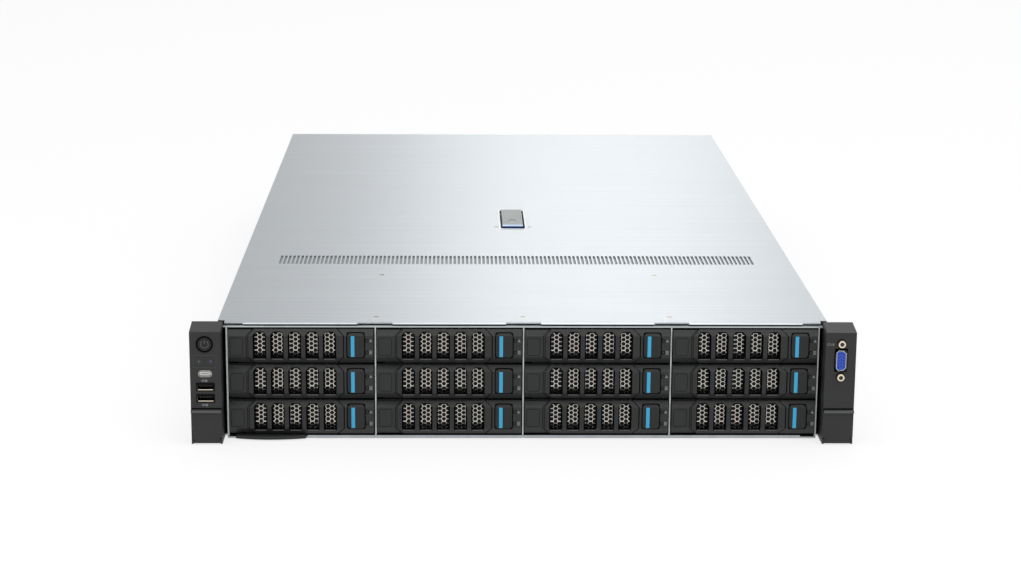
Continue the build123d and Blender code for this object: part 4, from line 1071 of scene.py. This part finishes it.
def supply_inlet(number, level):
    """Lining and three pins of a supply's inlet."""
    body = f"power_supply_{number}"
    x = SUPPLY_LEFT + SUPPLY_INLET_FROM_LEFT
    shape = bmesh.new()
    outer, inner = ring_points(24.3, 16.3, 1.0), ring_points(22.4, 14.4, 3.0)
    hoop(shape, outer, inner, (x, level), SUPPLY_BACK - 14.5, SUPPLY_BACK + 0.2)
    piece(f"supply_inlet_{number}", shape, socket_nylon, body, 0.2)
    shape = bmesh.new()
    depth = (SUPPLY_BACK - 14.8, SUPPLY_BACK - 4.0)
    for offset, rise in ((-7.0, -1.5), (0.0, 2.2), (7.0, -1.5)):
        span_x = (x + offset - 1.0, x + offset + 1.0)
        slab(shape, span_x, depth, (level + rise - 2.0, level + rise + 2.0))
    piece(f"supply_pins_{number}", shape, nickel, body, 0.3)


def rear_screws():
    """Flat heads of the small screws that hold the slot covers."""
    shape = bmesh.new()
    for middle in RISER_MIDDLES:
        for level in range(3):
            place = (middle + SLOT_SCREW_FROM_MIDDLE, LOWEST_SLOT + SLOT_PITCH * level)
            prism(shape, circle_points(2.6, 24), place, CASE_BACK - 0.2, CASE_BACK)
    piece("rear_screws", shape, nickel, "chassis", 0.05)


def board_parts():
    """Capacitors, chips and chokes that stand on the system board."""
    shape = bmesh.new()
    for index in range(16):
        place = (-150 + 20 * index, 474)
        prism(shape, circle_points(3.2, 20), place, BOARD_TOP, BOARD_TOP + 9.5, axis="Z")
    piece("board_capacitors", shape, nickel, "chassis", 0.4)
    shape = bmesh.new()
    chips = ((150, 560, 30), (60, 540, 26), (-40, 560, 18), (190, 500, 16), (-90, 520, 14), (110, 610, 14))
    for x, y, side in chips:
        points = ring_points(side, side, 0.6, 2)
        prism(shape, points, (x, y), BOARD_TOP, BOARD_TOP + 2.4, axis="Z")
    piece("board_chips", shape, socket_nylon, "chassis", 0.2)
    shape = bmesh.new()
    for index in range(14):
        place = (-143 + 22 * index, 312)
        prism(shape, ring_points(9, 9, 1.2, 3), place, BOARD_TOP, BOARD_TOP + 6.0, axis="Z")
    piece("board_chokes", shape, grey_nylon, "chassis", 0.3)


def dress_supplies():
    """Both power supplies with their latches, grilles and inlets."""
    for index in range(2):
        number = index + 1
        level = LOWEST_SUPPLY + index * SUPPLY_PITCH
        dress(f"power_supply_{number}", supply_steel, 0.3)
        dress(f"supply_latch_{number}", release_blue, 0.3)
        supply_grille(number, level)
        supply_inlet(number, level)


def dress_inside():
    """Tray, cage, fans, boards, risers, supplies and the rear ports."""
    dress("chassis_tray", tray_steel)
    dress("drive_cage", cage_steel)
    dress("fan_frames", fan_pbt)
    for index in range(4):
        dress(f"fan_rotor_{index + 1}", fan_pbt)
    dress("system_board", board_green)
    dress("processor_heatsinks", fin_aluminium)
    dress("memory_banks", memory_green)
    dress("riser_cages", tray_steel)
    dress("info_tag", bezel_abs, 0.3)
    dress_supplies()
    port_face, port_x = CASE_BACK + 0.35, -106.0
    usb_socket("rear_usb_lower", port_x, 13.3, port_face, -1)
    usb_socket("rear_usb_upper", port_x, 20.1, port_face, -1)
    rear_screws()
    board_parts()


# Studio


def floor_paint():
    """Pale matt paint that shows white to the camera and keeps a soft shadow."""
    made = bpy.data.materials.new("pale_floor_paint")
    made.use_nodes = True
    tree = made.node_tree
    shader = tree.nodes["Principled BSDF"]
    rays = add(tree, "ShaderNodeLightPath").outputs
    either = maths(tree, "ADD", rays["Is Camera Ray"], rays["Is Glossy Ray"])
    seen = maths(tree, "MINIMUM", either, 1.0)
    feed(tree, shader, Base_Color=mix(tree, seen, colour("BCBCBC"), colour("F8F8F8")), Roughness=0.9)
    white = add(tree, "ShaderNodeEmission", {"Color": colour("FFFFFF"), "Strength": 1.04})
    share = maths(tree, "MULTIPLY", seen, 0.7)
    shaders = {0: share, 1: shader.outputs[0], 2: white.outputs[0]}
    both = add(tree, "ShaderNodeMixShader", shaders)
    tree.links.new(both.outputs[0], tree.nodes["Material Output"].inputs["Surface"])
    return made


def floor():
    """A wide floor, a little under the foot of the case."""
    shape = bmesh.new()
    left, right, front, back, level = -9000, 9000, -9000, 12000, -0.4
    corners = ((left, front), (right, front), (right, back), (left, back))
    shape.faces.new([shape.verts.new((x, y, level)) for x, y in corners])
    bmesh.ops.scale(shape, vec=(0.001, 0.001, 0.001), verts=shape.verts)
    mesh = bpy.data.meshes.new("floor")
    shape.to_mesh(mesh)
    shape.free()
    mesh.materials.append(floor_paint())
    plane = bpy.data.objects.new("floor", mesh)
    bpy.context.scene.collection.objects.link(plane)


def surroundings():
    """White backdrop for the camera, and a soft light that grows towards the zenith."""
    world = bpy.data.worlds.new("studio")
    world.use_nodes = True
    bpy.context.scene.world = world
    tree = world.node_tree
    rays = add(tree, "ShaderNodeLightPath").outputs
    either = maths(tree, "ADD", rays["Is Camera Ray"], rays["Is Transmission Ray"])
    seen = maths(tree, "MINIMUM", either, 1.0)
    rise = axes(tree, add(tree, "ShaderNodeTexCoord").outputs["Generated"])[2]
    soft = spread(tree, rise, 0.5, 0.85, 0.0, 1.0)
    strength = add(tree, "ShaderNodeMapRange", {"Value": seen, "To Min": soft, "To Max": 1.0})
    tree.links.new(strength.outputs[0], tree.nodes["Background"].inputs["Strength"])
    tree.nodes["Background"].inputs["Color"].default_value = (1, 1, 1, 1)


def soft_lamp(name, place, target, width, height, power):
    """A rectangular soft lamp turned towards a point; places in millimetres."""
    data = bpy.data.lights.new(name, "AREA")
    data.shape = "RECTANGLE"
    data.size, data.size_y = width / 1000, height / 1000
    data.energy = power
    made = bpy.data.objects.new(name, data)
    made.location = Vector(place) / 1000
    aim = (Vector(target) - Vector(place)).normalized()
    made.rotation_euler = aim.to_track_quat("-Z", "Y").to_euler()
    bpy.context.scene.collection.objects.link(made)


def camera():
    """The photograph's camera: its place in millimetres, and its turns in radians."""
    place = (-49.046, -1620.815, 508.270)
    swing, tilt, roll = -0.02428, 0.23886, 0.0075
    data = bpy.data.cameras.new("camera")
    data.lens, data.sensor_width = 81.06, 36
    data.clip_start, data.clip_end = 0.05, 100
    made = bpy.data.objects.new("camera", data)
    turn = Matrix.Rotation(swing, 4, "Z") @ Matrix.Rotation(math.pi / 2 - tilt, 4, "X")
    turn = turn @ Matrix.Rotation(roll, 4, "Z")
    made.matrix_world = Matrix.Translation(Vector(place) / 1000) @ turn
    bpy.context.scene.collection.objects.link(made)
    bpy.context.scene.camera = made


def studio():
    """Floor, surroundings, camera, and the lamps: in front, far behind, and weakly at the side."""
    floor()
    surroundings()
    soft_lamp("key", (300, -1200, 2100), (0, 200, 40), 3400, 3000, 31)
    soft_lamp("rear", (400, 6160, 2200), (60, 300, 87), 1150, 1200, 14.5)
    soft_lamp("side", (980, 2500, 1600), (200, 0, 80), 1200, 1200, 2.5)
    camera()
    bpy.context.scene.view_settings.view_transform = "Standard"


dress_carriers()
dress_ears()
dress_cover()
dress_inside()
studio()
